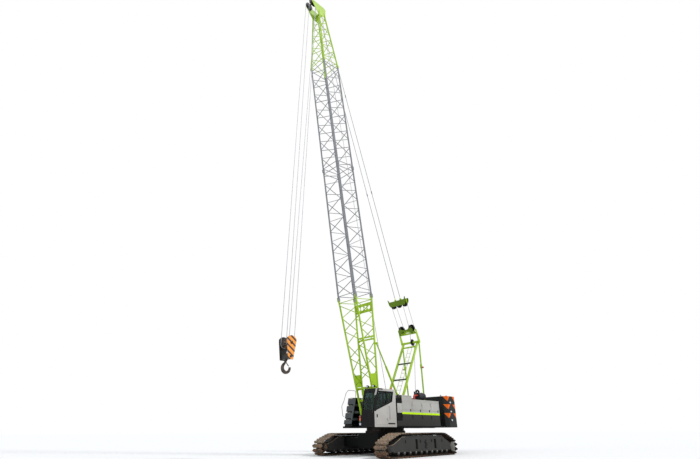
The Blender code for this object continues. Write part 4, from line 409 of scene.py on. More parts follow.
@dataclass(frozen=True)
class IronFinish:
    """Forged iron, darkened and rubbed."""

    name: str
    colour: Colour = (0.05, 0.04, 0.034)
    rubbed: Colour = (0.19, 0.13, 0.10)
    roughness: float = 0.5

    def make(self) -> bpy.types.Material:
        """Build the iron's material."""
        recipe = Recipe(self.name, Metallic=0.55)
        patch = recipe.noise(7.0, 4.0)
        grain = recipe.noise(60.0, 4.0)
        colour = recipe.tint(patch.ramp(0.5, 0.72), self.colour, self.rubbed)
        roughness = grain * 0.3 + (self.roughness - 0.1)
        return recipe.close(colour, roughness, grain, 0.35, 0.004)


@dataclass(frozen=True)
class RopeFinish:
    """Greased wire rope with its strands laid round it."""

    name: str
    colour: Colour = (0.52, 0.52, 0.56)
    lay: float = 110.0

    def make(self) -> bpy.types.Material:
        """Build the rope's material."""
        recipe = Recipe(self.name, Metallic=0.3)
        x, y, z = recipe.place()
        strand = ((x + y) * (self.lay * 1.6) + z * self.lay).wave()
        grease = recipe.noise(5.0, 3.0)
        colour = recipe.tint(strand.ramp(-0.9, 0.2), (0.20, 0.20, 0.22), self.colour)
        colour = recipe.tint(grease.ramp(0.58, 0.75) * 0.4, colour, (0.12, 0.11, 0.11))
        return recipe.close(colour, grease * 0.3 + 0.3, strand, 0.6, 0.003)


@dataclass(frozen=True)
class GlassFinish:
    """Tinted safety glass with a film of dust."""

    name: str
    colour: Colour = (0.20, 0.30, 0.28)

    def make(self) -> bpy.types.Material:
        """Build the glass's material."""
        recipe = Recipe(self.name, Transmission_Weight=0.96, IOR=1.2, Specular_IOR_Level=0.3)
        film = recipe.noise(3.0, 4.0)
        shade = scaled(self.colour, 0.55)
        colour = recipe.tint(film.ramp(0.3, 0.7), shade, self.colour)
        return recipe.close(colour, film * 0.08 + 0.01, film, 0.02, 0.002)


@dataclass(frozen=True)
class LensFinish:
    """A moulded lamp lens with fine prisms."""

    name: str
    colour: Colour
    glow: float = 0.0

    def make(self) -> bpy.types.Material:
        """Build the lens's material."""
        recipe = Recipe(self.name, Coat_Weight=0.8, Coat_Roughness=0.05,
                        Emission_Color=(*self.colour, 1.0), Emission_Strength=self.glow)
        x, _, z = recipe.place()
        prisms = (x * 240.0).wave() * (z * 240.0).wave()
        shade = scaled(self.colour, 0.5)
        colour = recipe.tint(prisms.ramp(-1.0, 0.8), shade, self.colour)
        return recipe.close(colour, prisms * 0.04 + 0.14, prisms, 0.5, 0.002)


@dataclass(frozen=True)
class ClothFinish:
    """A woven seat cover."""

    name: str
    colour: Colour = (0.028, 0.029, 0.032)

    def make(self) -> bpy.types.Material:
        """Build the cloth's material."""
        recipe = Recipe(self.name, Sheen_Weight=0.3)
        x, y, z = recipe.place()
        weave = (x * 1500.0).wave() * ((y + z) * 1500.0).wave()
        wear = recipe.noise(9.0, 3.0)
        pale = scaled(self.colour, 2.1)
        colour = recipe.tint(weave.ramp(-0.7, 1.0) * wear, self.colour, pale)
        return recipe.close(colour, wear * 0.2 + 0.75, weave, 0.4, 0.001)


def band_zone(low: float, high: float, colour: Colour) -> Zone:
    """Return a zone that paints a level band."""
    def paint(recipe: Recipe, under: Any) -> Any:
        _, _, z = recipe.place()
        return recipe.tint(z.between(low, high), under, colour)
    return paint


def intake_zone(recipe: Recipe, under: Any) -> Any:
    """Paint the black bay between the cab and the housing's first door."""
    x, y, _ = recipe.place()
    bay = y.below(-0.405) * x.size().above(1.45)
    return recipe.tint(bay, under, BLACK)


def roof_zone(recipe: Recipe, under: Any) -> Any:
    """Paint the walkway strip on the housings' roofs a darker grey."""
    x, _, z = recipe.place()
    return recipe.tint(z.above(2.775) * x.size().below(1.40) * z.below(2.79), under,
                       (0.10, 0.10, 0.098))


def skirt_zone(recipe: Recipe, under: Any) -> Any:
    """Paint the skirt under the housings like their lower panels."""
    x, y, z = recipe.place()
    skirt = z.between(1.425, 1.68) * x.size().above(1.59) * y.between(-0.87, 3.28)
    return recipe.tint(skirt, under, DARK_PANEL)


def inside_zone(recipe: Recipe, under: Any) -> Any:
    """Paint the walls inside the cab black."""
    x, y, z = recipe.place()
    inside = x.between(0.69, 1.552) * y.between(-2.63, -0.91) * z.between(1.38, 3.14)
    return recipe.tint(inside, under, (0.012, 0.013, 0.013))


@dataclass(frozen=True)
class SpreaderZone:
    """Lime plates and black sheaves on a spreader that leans over."""

    centre: tuple[float, float]
    lean: float
    out: float
    low: float
    high: float

    def __call__(self, recipe: Recipe, under: Any) -> Any:
        """Paint the sheaves over a colour."""
        x, y, z = recipe.place()
        across, up = y - self.centre[0], z - self.centre[1]
        turn = math.radians(self.lean)
        rise = up * math.cos(turn) - across * math.sin(turn)
        out = across * math.cos(turn) + up * math.sin(turn)
        wheels = out.size().above(self.out) * rise.between(self.low, self.high)
        return recipe.tint(wheels * x.size().below(0.56), under, BLACK)


def pendant_zone(recipe: Recipe, under: Any) -> Any:
    """Paint the upper spreader's plate lime under its grey pendant lines."""
    _, _, z = recipe.place()
    return recipe.tint(z.below(9.45), under, LIME)


def gantry_zone(recipe: Recipe, under: Any) -> Any:
    """Paint painted shade on the two lower cross bars between the gantry's legs: dark green where they
    lie in shade.
    """
    x, y, z = recipe.place()
    share = (y - 0.42) * (2.63 / 28.63) + (z - 1.84) * (4.66 / 28.63)
    # painted shade: the two cross bars darkened to stand in for the shade they lie in
    bars = share.between(0.452, 0.488).most(share.between(0.672, 0.708))
    return recipe.tint(bars * x.size().below(0.50), under, PAINTED_SHADE_DARK_GREEN)


def cab_zone(recipe: Recipe, under: Any) -> Any:
    """Paint the cab's front, window surround and roof edge black."""
    x, y, z = recipe.place()
    sill = z.above(2.085)
    face = (y + 2.662).below(0.0)
    pillar = ((y + 2.525) - (z - 2.10).most(0.0) * 0.26).below(0.0) * sill
    front = face.most(pillar)
    window = recipe.polygon(y, z, [(-2.60, 2.10), (-1.37, 2.51), (-1.19, 2.58), (-1.06, 3.09),
                                   (-2.45, 3.07)])
    outer = x.above(1.55)
    brow = z.above(3.135) * y.below(-1.95)
    inner = x.below(0.70) * z.below(2.08)
    mask = front.most(window * outer).most(brow).most(inner)
    return recipe.tint(mask, under, (0.010, 0.010, 0.011))


def hook_zone(recipe: Recipe, under: Any) -> Any:
    """Paint orange and black slanting stripes on the hook block's outer cheeks."""
    x, y, z = recipe.place()
    across = (y + SLEW_Y - FALLS_Y) * 0.66 + (z - BLOCK_Z)
    stripe = (across * 3.6 + 0.15).fraction().above(0.36)
    face = x.size().above(0.3335)
    worn = recipe.noise(20.0, 4.0).ramp(0.35, 0.75)
    yellow = recipe.tint(worn, (0.93, 0.30, 0.055), (1.0, 0.42, 0.045))
    striped = recipe.tint(stripe, (0.022, 0.03, 0.036), yellow)
    return recipe.tint(face, under, striped)


@dataclass(frozen=True)
class WarningWedges:
    """Orange wedges that hang from a slab's top round its two side corners."""

    low: float
    high: float
    half_x: float = 1.65
    corner_ys: tuple[float, float] = (4.22, 5.05)
    reach: float = 0.29
    drop: float = 0.30

    def __call__(self, recipe: Recipe, under: Any) -> Any:
        """Paint the wedges over a colour."""
        x, y, z = recipe.place()
        out = x.size() - self.half_x
        apex = self.high - self.drop
        mask = None
        for corner in self.corner_ys:
            along = y - corner
            reach = (out * out + along * along).root()
            wedge = reach.below((z - apex) * (self.reach / self.drop))
            mask = wedge if mask is None else mask.most(wedge)
        return recipe.tint(mask * z.below(self.high - 0.004), under, ORANGE)


class Bench:
    """The modelling steps that every sub-assembly shares."""

    def __init__(self, finishes: dict[str, bpy.types.Material]) -> None:
        """Keep the finishes that pieces are painted with."""
        self.finishes = finishes

    @staticmethod
    def free() -> None:
        """Leave edit mode and deselect everything."""
        if bpy.context.mode != "OBJECT":
            bpy.ops.object.mode_set(mode="OBJECT")
        bpy.ops.object.select_all(action="DESELECT")

    def pick(self, thing: bpy.types.Object) -> None:
        """Select one form alone and make it the active one."""
        self.free()
        thing.select_set(True)
        bpy.context.view_layer.objects.active = thing

    @staticmethod
    def twin(thing: bpy.types.Object, change: Matrix) -> bpy.types.Object:
        """Return a copy of a form with its own mesh, moved by a matrix."""
        other = thing.copy()
        other.data = thing.data.copy()
        other.data.transform(change)
        bpy.context.collection.objects.link(other)
        return other

    @staticmethod
    def edges(thing: bpy.types.Object, width: float, rings: int, sharp: float) -> None:
        """Bevel a form's edges that are sharper than an angle.

        Args:
            thing: the form.
            width: the bevel's width.
            rings: its number of segments.
            sharp: the least angle in degrees.
        """
        bpy.context.view_layer.objects.active = thing
        bpy.ops.object.mode_set(mode="EDIT")
        bpy.ops.mesh.select_all(action="DESELECT")
        bpy.ops.mesh.select_mode(type="EDGE")
        mesh = bmesh.from_edit_mesh(thing.data)
        for edge in mesh.edges:
            edge.select = edge.calc_face_angle(0.0) > math.radians(sharp)
        bmesh.update_edit_mesh(thing.data)
        bpy.ops.mesh.bevel(offset=width, segments=rings, affect="EDGES")
        bpy.ops.object.mode_set(mode="OBJECT")

    def block(self, low: Sequence[float], high: Sequence[float], bevel: float = 0.0,
              rings: int = 2) -> bpy.types.Object:
        """Make a block between two corners, with its edges rounded.

        Args:
            low: the lowest corner.
            high: the highest corner.
            bevel: the width of the rounding.
            rings: the rounding's segments.

        Returns:
            The block with its place in its mesh.
        """
        self.free()
        low, high = Vector(low), Vector(high)
        bpy.ops.mesh.primitive_cube_add(size=1.0, location=(low + high) / 2)
        thing = bpy.context.object
        thing.scale = high - low
        bpy.ops.object.transform_apply(location=True, rotation=True, scale=True)
        if bevel:
            self.edges(thing, bevel, rings, 30.0)
        return thing

    def rod(self, start: Sequence[float], end: Sequence[float], radius: float, sides: int = 14,
            bevel: float = 0.0, tip: float | None = None) -> bpy.types.Object:
        """Make a round bar between two points.

        Args:
            start: the centre of one end.
            end: the centre of the other end.
            radius: the bar's radius.
            sides: the number of flats round it.
            bevel: the width of the rounding at its rims.
            tip: the radius at the far end, if it tapers.

        Returns:
            The bar with its place in its mesh.
        """
        self.free()
        start, end = Vector(start), Vector(end)
        way = end - start
        turn = way.to_track_quat("Z", "Y").to_euler()
        bpy.ops.mesh.primitive_cone_add(vertices=sides, radius1=radius,
                                        radius2=radius if tip is None else tip,
                                        depth=way.length, location=(start + end) / 2,
                                        rotation=turn)
        thing = bpy.context.object
        bpy.ops.object.transform_apply(location=True, rotation=True, scale=True)
        if bevel:
            self.edges(thing, bevel, 2, 60.0)
        return thing

    def pipe(self, points: Sequence[Sequence[float]], radius: float,
             sides: int = 2, bend: float = 0.0) -> bpy.types.Object:
        """Make a tube along a line of points.

        Args:
            points: the tube's centre line.
            radius: the tube's radius.
            sides: the curve's bevel resolution.
            bend: how far each corner is rounded.

        Returns:
            The tube as a closed mesh.
        """
        line = [Vector(point) for point in points]
        if bend:
            rounded = [line[0]]
            for before, corner, after in zip(line, line[1:], line[2:]):
                first = corner + (before - corner).normalized() * bend
                last = corner + (after - corner).normalized() * bend
                for step in range(5):
                    share = step / 4
                    rounded.append(first.lerp(corner, share).lerp(corner.lerp(last, share), share))
            line = rounded + [line[-1]]
        curve = bpy.data.curves.new("tube", "CURVE")
        curve.dimensions = "3D"
        curve.bevel_depth = radius
        curve.bevel_resolution = sides
        curve.use_fill_caps = True
        spline = curve.splines.new("POLY")
        spline.points.add(len(line) - 1)
        for point, place in zip(spline.points, line):
            point.co = (*place, 1.0)
        thing = bpy.data.objects.new("tube", curve)
        bpy.context.collection.objects.link(thing)
        self.pick(thing)
        bpy.ops.object.convert(target="MESH")
        return bpy.context.object

    def plate(self, corners: Sequence[Sequence[float]], thickness: Sequence[float],
              bevel: float = 0.0) -> bpy.types.Object:
        """Make a plate from an outline pushed out by its thickness.

        Args:
            corners: the outline's points in space.
            thickness: the vector that the outline is pushed along.
            bevel: the width of the rounding at its edges.

        Returns:
            The closed plate.
        """
        mesh = bpy.data.meshes.new("plate")
        mesh.from_pydata([tuple(corner) for corner in corners], [], [range(len(corners))])
        thing = bpy.data.objects.new("plate", mesh)
        bpy.context.collection.objects.link(thing)
        self.pick(thing)
        bpy.ops.object.mode_set(mode="EDIT")
        bpy.ops.mesh.select_all(action="SELECT")
        bpy.ops.mesh.extrude_region_move(
            TRANSFORM_OT_translate={"value": tuple(thickness), "orient_type": "GLOBAL"})
        bpy.ops.mesh.select_all(action="SELECT")
        bpy.ops.mesh.normals_make_consistent(inside=False)
        bpy.ops.object.mode_set(mode="OBJECT")
        if bevel:
            self.edges(thing, bevel, 1, 40.0)
        return thing

    def ring(self, centre: Sequence[float], normal: Sequence[float], radius: float,
             tube: float, steps: int = 32) -> bpy.types.Object:
        """Make a round ring about a line.

        Args:
            centre: the ring's centre.
            normal: the way its axis points.
            radius: the radius of its centre line.
            tube: the radius of its section.
            steps: the number of sections.

        Returns:
            The ring.
        """
        self.free()
        turn = Vector(normal).to_track_quat("Z", "Y").to_euler()
        bpy.ops.mesh.primitive_torus_add(location=Vector(centre), rotation=turn,
                                         major_radius=radius, minor_radius=tube,
                                         major_segments=steps, minor_segments=8)
        bpy.ops.object.transform_apply(location=True, rotation=True, scale=True)
        return bpy.context.object

    def copies(self, thing: bpy.types.Object,
               moves: Sequence[Sequence[float]]) -> list[bpy.types.Object]:
        """Return copies of a form, moved by vectors."""
        return [self.twin(thing, Matrix.Translation(Vector(move))) for move in moves]

    def mirror(self, things: Sequence[bpy.types.Object]) -> list[bpy.types.Object]:
        """Return copies of forms on the other side of the machine."""
        made = [self.twin(thing, Matrix.Scale(-1.0, 4, (1.0, 0.0, 0.0))) for thing in things]
        for other in made:
            other.data.flip_normals()
        return made

    def coat(self, piece: bpy.types.Object, name: str, finish: str, slot: Slot,
             smooth: float) -> None:
        """Name, smooth and paint the active form.

        Args:
            piece: the form.
            name: the piece's name.
            finish: the name of its finish.
            slot: not used.
            smooth: faces meeting under this angle are shaded smooth.
        """
        piece.name = name
        piece.data.name = name
        bpy.ops.object.shade_smooth_by_angle(angle=math.radians(smooth))
        piece.data.materials.clear()
        piece.data.materials.append(self.finishes[finish])
        LOG.info("%s: %d faces in %s", name, len(piece.data.polygons), finish)

    def settle(self, name: str, parts: Sequence[bpy.types.Object], body: str, finish: str,
               slot: Slot, smooth: float = 35.0) -> bpy.types.Object:
        """Join forms into one finished piece that rides on a body.

        Args:
            name: the piece's name.
            parts: the forms to join.
            body: the body that it rides on.
            finish: the name of its finish.
            slot: the record's slot for it.
            smooth: faces meeting under this angle are shaded smooth.

        Returns:
            The finished piece.
        """
        self.free()
        for part in parts:
            part.select_set(True)
        bpy.context.view_layer.objects.active = parts[0]
        if len(parts) > 1:
            bpy.ops.object.join()
        piece = bpy.context.view_layer.objects.active
        self.coat(piece, name, finish, slot, smooth)
        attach(piece, str(body.value if isinstance(body, Enum) else body))
        return piece

    def pair(self, name: str, left: Sequence[bpy.types.Object], body: str, finish: str,
             slot: Slot) -> list[bpy.types.Object]:
        """Settle a piece on the machine's left and its mirror image on the right.

        Args:
            name: the pieces' name after the side's.
            left: the left piece's forms.
            body: the body, with {side} in place of the side's name.
            finish: the name of their finish.
            slot: the record's slot for them.

        Returns:
            The left and the right piece.
        """
        right = self.mirror(left)
        return [self.settle(f"{side}_{name}", forms, body.format(side=side), finish, slot)
                for side, forms in zip(SIDES, (left, right))]


@dataclass
class Undercarriage:
    """The wheels' covers, the frames' brackets and the slewing ring's bolts."""

    bench: Bench
    frame_face_x: float = 2.565
    cover_radius: float = 0.235
    bolt_radius: float = 0.018
    ring_radius: float = 1.095
    ring_top: float = 1.18
    ring_bolts: int = 40

    def drive_cover(self, y: float, radius: float, bolts: int) -> list[bpy.types.Object]:
        """Make a round cover with its bolt circle on the left side frame.

        Args:
            y: the wheel's place along the crawler.
            radius: the cover's radius.
            bolts: the number of bolts round it.

        Returns:
            The cover's forms.
        """
        face = self.frame_face_x
        centre = spot(face, y, WHEEL_Z)
        step = Vector((1.0, 0.0, 0.0))
        forms = [self.bench.rod(centre - step * 0.03, centre + step * 0.02, radius, 36, 0.008),
                 self.bench.rod(centre, centre + step * 0.045, radius * 0.55, 28, 0.010),
                 self.bench.rod(centre, centre + step * 0.062, radius * 0.2, 6, 0.004)]
        for index in range(bolts):
            turn = 2 * math.pi * index / bolts
            place = centre + Vector((0.0, math.cos(turn), math.sin(turn))) * radius * 0.8
            forms.append(self.bench.rod(place, place + step * 0.034, self.bolt_radius, 6, 0.003))
        return forms

    def brackets(self) -> list[bpy.types.Object]:
        """Make the tie-down lugs and the middle bracket of the left side frame."""
        face = self.frame_face_x
        forms = []
        for y in (-1.55, -0.30, 0.72, 1.70):
            corners = [spot(face - 0.01, y, 0.62), spot(face - 0.01, y, 0.80),
                       spot(face + 0.05, y, 0.76), spot(face + 0.05, y, 0.68)]
            forms.append(self.bench.plate(corners, (0.0, 0.035, 0.0), 0.004))
        for z in (0.42, 0.66):
            forms.append(self.bench.block(spot(face - 0.01, 0.10, z), spot(face + 0.055, 0.34, z + 0.05),
                                          0.008))
        forms.append(self.bench.rod(spot(face + 0.03, 0.22, 0.40), spot(face + 0.03, 0.22, 0.76),
                                    0.028, 16, 0.004))
        forms.append(self.bench.ring(spot(face + 0.03, 0.22, 0.57), (1.0, 0.0, 0.0), 0.07, 0.014))
        return forms

    def slew_bolts(self) -> list[bpy.types.Object]:
        """Make the slewing ring's bolts."""
        first = self.bench.rod(spot(0.0, 0.0, self.ring_top - 0.012),
                               spot(0.0, 0.0, self.ring_top + 0.024), 0.022, 6, 0.003)
        moves = [(math.cos(2 * math.pi * index / self.ring_bolts) * self.ring_radius,
                  math.sin(2 * math.pi * index / self.ring_bolts) * self.ring_radius, 0.0)
                 for index in range(self.ring_bolts)]
        forms = self.bench.copies(first, moves)
        bpy.data.objects.remove(first)
        return forms

    def build(self) -> None:
        """Build the undercarriage's pieces."""
        for word, y, share, bolts, finish in (("drive", WHEEL_Y, 1.0, 12, "drive"),
                                              ("idler", -WHEEL_Y, 0.62, 8, "crawler")):
            cover = self.drive_cover(y, self.cover_radius * share, bolts)
            self.bench.pair(f"{word}_cover", cover, Body.UNDERCARRIAGE, finish, Slot.CRAWLER)
        self.bench.pair("frame_brackets", self.brackets(), Body.UNDERCARRIAGE, "crawler",
                        Slot.CRAWLER)
        self.bench.settle("slew_ring_bolts", self.slew_bolts(), Body.UNDERCARRIAGE, "iron",
                          Slot.CRAWLER)


@dataclass
class Crawler:
    """The crawlers' cast shoes and their chains, laid round the wheels."""

    bench: Bench
    centre_x: float = TRACK_X
    half_width: float = 0.41
    roller_half: float = 2.12
    rollers: int = 10
    frame_faces: tuple[tuple[float, float], ...] = ((2.565, 1.0), (1.945, -1.0))
    top_half: float = 1.95
    top_z: float = 1.095
    corner_radius: float = 0.45
    pitch: float = 0.20
    pin_depth: float = 0.10

    def stretches(self) -> list[tuple[Vector, float, float, float, float]]:
        """Return the pin line as arcs and straight runs, going round once.

        Returns:
            For each stretch its centre, radius, first angle, sweep and length; the sweep of
            a straight run is zero.
        """
        depth = self.pin_depth
        rows = ((-WHEEL_Y, WHEEL_Z, WHEEL_Z), (WHEEL_Y, WHEEL_Z, WHEEL_Z),
                (self.top_half, self.top_z - self.corner_radius, self.corner_radius),
                (-self.top_half, self.top_z - self.corner_radius, self.corner_radius))
        corners = [(Vector((y, z)), radius - depth) for y, z, radius in rows]
        normals, lengths = [], []
        for index, (centre, radius) in enumerate(corners):
            other, other_radius = corners[(index + 1) % len(corners)]
            way = other - centre
            lean = math.asin((radius - other_radius) / way.length)
            normals.append(math.atan2(way.y, way.x) - math.pi / 2 + lean)
            lengths.append(way.length * math.cos(lean))
        found = []
        for index, (centre, radius) in enumerate(corners):
            before = normals[index - 1]
            sweep = (normals[index] - before) % (2 * math.pi)
            found.append((centre, radius, before, sweep, radius * sweep))
            found.append((centre, radius, normals[index], 0.0, lengths[index]))
        return found

    def pin(self, distance: float) -> Vector:
        """Return the pin line's point (y, z) at a distance along it."""
        for centre, radius, angle, sweep, length in self.stretches():
            if distance <= length:
                break
            distance -= length
        turn = angle + sweep * distance / length
        outward = Vector((math.cos(turn), math.sin(turn)))
        along = Vector((-outward.y, outward.x)) * (0.0 if sweep else distance)
        return centre + outward * radius + along

    def places(self) -> list[Matrix]:
        """Return each shoe's place on the left side: x across, y along, z outward."""
        total = sum(row[4] for row in self.stretches())
        count = round(total / self.pitch)
        pins = [self.pin(total * index / count) for index in range(count)]
        found = []
        for index, first in enumerate(pins):
            last = pins[(index + 1) % count]
            way = (last - first).normalized()
            middle = (first + last) / 2
            columns = Matrix(((1.0, 0.0, 0.0), (0.0, way.x, way.y), (0.0, way.y, -way.x)))
            place = spot(self.centre_x, middle.x, middle.y)
            found.append(Matrix.Translation(place) @ columns.transposed().to_4x4())
        return found

    def shoe(self) -> list[bpy.types.Object]:
        """Make one cast shoe: its plate, its rib and its two finger-like ends."""
        top, half, reach = self.pin_depth, self.half_width, 0.097
        plate = self.bench.block((-half + 0.09, -reach, top - 0.062),
                                 (half - 0.09, reach, top - 0.014), 0.007, 1)
        ribs = [self.bench.block((low, -0.066, top - 0.030), (low + 0.17, 0.062, top), 0.010, 1)
                for low in (-half + 0.115, -0.085, half - 0.285)]
        ends = []
        for side in (-1.0, 1.0):
            outer, inner = side * half, side * (half - 0.11)
            corners = [(inner, -0.080, top - 0.058), (outer, -0.034, top - 0.058),
                       (outer, 0.030, top - 0.058), (inner, 0.080, top - 0.058)]
            ends.append(self.bench.plate(corners, (0.0, 0.0, 0.054), 0.009))
        return [plate] + ribs + ends

    def link(self) -> list[bpy.types.Object]:
        """Make one link of the chain: two rails and a pin."""
        rails = [self.bench.block((side * 0.10 - 0.024, -0.098, -0.026),
                                  (side * 0.10 + 0.024, 0.098, self.pin_depth - 0.048), 0.006, 1)
                 for side in (-1.0, 1.0)]
        pin = self.bench.rod((-0.13, 0.1, 0.0), (0.13, 0.1, 0.0), 0.022, 12)
        return rails + [pin]

    def lay(self, forms: Sequence[bpy.types.Object]) -> list[bpy.types.Object]:
        """Return copies of a shoe's or link's forms at every place, and drop the first."""
        laid = [self.bench.twin(form, place) for place in self.places() for form in forms]
        for form in forms:
            bpy.data.objects.remove(form)
        return laid

    def guards(self) -> list[bpy.types.Object]:
        """Make the plates that close the gap over the left side frame."""
        forms = [self.bench.block(spot(x, -1.80, 0.885), spot(x + 0.022, 1.80, 0.962), 0.005)
                 for x in (self.centre_x - 0.30, self.centre_x + 0.278)]
        forms.append(self.bench.block(spot(self.centre_x - 0.29, -1.60, 0.90),
                                      spot(self.centre_x - 0.15, 1.60, 0.93), 0.005))
        return forms

    def noses(self) -> list[bpy.types.Object]:
        """Make the muddy edge bars on the left frame's sloping ends."""
        forms = []
        for side in (-1.0, 1.0):
            for x in (self.centre_x - 0.31, self.centre_x + 0.31):
                forms.append(self.bench.pipe([spot(x, side * 2.86, 0.53), spot(x, side * 2.47, 0.60),
                                              spot(x, side * 1.80, 0.905),
                                              spot(x, side * 1.55, 0.905)], 0.014, 1))
        return forms

    def roller_caps(self) -> list[bpy.types.Object]:
        """Make the worn axle caps of the lower rollers on both faces of the left frame."""
        forms = []
        for index in range(self.rollers):
            y = -self.roller_half + index * (self.roller_half * 2) / (self.rollers - 1)
            for face, way in self.frame_faces:
                forms.append(self.bench.rod(spot(face - way * 0.01, y, 0.240),
                                            spot(face + way * 0.014, y, 0.240), 0.034, 14, 0.005))
        return forms

    def build(self) -> None:
        """Build both crawlers' pieces."""
        shoes = self.bench.pair("track_shoes", self.lay(self.shoe()), Body.UNDERCARRIAGE, "track",
                                Slot.CRAWLER)
        for side, piece in zip(SIDES, shoes):
            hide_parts(f"{side}_track")
        rows = (("track_chain", self.lay(self.link()), "chain"),
                ("frame_guards", self.guards(), "crawler"), ("nose_guards", self.noses(), "track"),
                ("roller_caps", self.roller_caps(), "cap"))
        for name, left, finish in rows:
            self.bench.pair(name, left, Body.UNDERCARRIAGE, finish, Slot.CRAWLER)


@dataclass
class BoomFoot:
    """The boom's open foot plates and gussets, and the trimmed walking platform."""

    bench: Bench
    foot_x: float = 0.56
    windows: tuple[tuple[float, float], ...] = ((0.40, 0.90), (1.00, 1.50))
    flange: float = 0.072
    root_half: float = 0.15
    taper: float = 0.096
    gusset: tuple[float, float] = (1.66, 2.32)
    base_length: float = 6.75

    def recut(self, node: str, cutters: Sequence[bpy.types.Object]) -> bpy.types.Object:
        """Return a copy of a node with cutters taken out of it.

        Args:
            node: the node's name.
            cutters: the forms to take out, which are removed afterwards.

        Returns:
            The cut copy.
        """
        piece = self.bench.twin(bpy.data.objects[node], Matrix())
        self.bench.pick(piece)
        bpy.ops.object.mode_set(mode="EDIT")
        bpy.ops.mesh.select_all(action="SELECT")
        bpy.ops.mesh.remove_doubles(threshold=0.00002)
        bpy.ops.object.mode_set(mode="OBJECT")
        for index, cutter in enumerate(cutters):
            cut = piece.modifiers.new(f"window_{index}", "BOOLEAN")
            cut.operation = "DIFFERENCE"
            cut.solver = "EXACT"
            cut.object = cutter
            bpy.ops.object.modifier_apply(modifier=cut.name)
            bpy.data.objects.remove(cutter)
        return piece

    def open_base(self) -> None:
        """Cut the windows of the foot plates in a copy of the boom's base."""
        cutters = []
        for low, high in self.windows:
            for side in (-1.0, 1.0):
                x = side * self.foot_x - 0.08
                near = self.root_half + self.taper * low - self.flange
                far = self.root_half + self.taper * high - self.flange
                corners = [boom_spot(x, -near, low), boom_spot(x, near, low),
                           boom_spot(x, far, high), boom_spot(x, -far, high)]
                cutters.append(self.bench.plate(corners, (0.16, 0.0, 0.0)))
        piece = self.recut("boom_base", cutters)
        self.bench.settle("boom_base_open", [piece], Body.BOOM, "lime", Slot.LIME)
        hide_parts("boom_base")

    def trim_platform(self) -> None:
        """Cut the outer front corner of the walking platform in a copy of the frame."""
        front = self.bench.block(spot(-1.60, -2.30, 1.30), spot(-0.70, -1.90, 1.425))
        edge = self.bench.block(spot(-1.60, -2.30, 1.30), spot(-1.50, -0.95, 1.425))
        piece = self.recut("revolving_frame", [front, edge])
        self.bench.settle("revolving_frame_trimmed", [piece], Body.UPPERWORKS, "frame",
                          Slot.BLACK)
        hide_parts("revolving_frame")

    def gussets(self) -> None:
        """Build the side plates that tie the chords above the foot."""
        forms = []
        low, high = self.gusset
        for side in (-1.0, 1.0):
            corners = []
            for along, sign in ((low, -1.0), (low, 1.0), (high, 1.0), (high, -1.0)):
                x = side * (self.foot_x + 0.16 * along / self.base_length)
                back = sign * (0.10 + 0.62 * along / self.base_length)
                corners.append(boom_spot(x, back, along))
            forms.append(self.bench.plate(corners, (side * 0.014, 0.0, 0.0), 0.003))
        self.bench.settle("boom_foot_gussets", forms, Body.BOOM, "lime", Slot.LIME)

    def build(self) -> None:
        """Build the boom foot's pieces."""
        self.open_base()
        self.trim_platform()
        self.gussets()


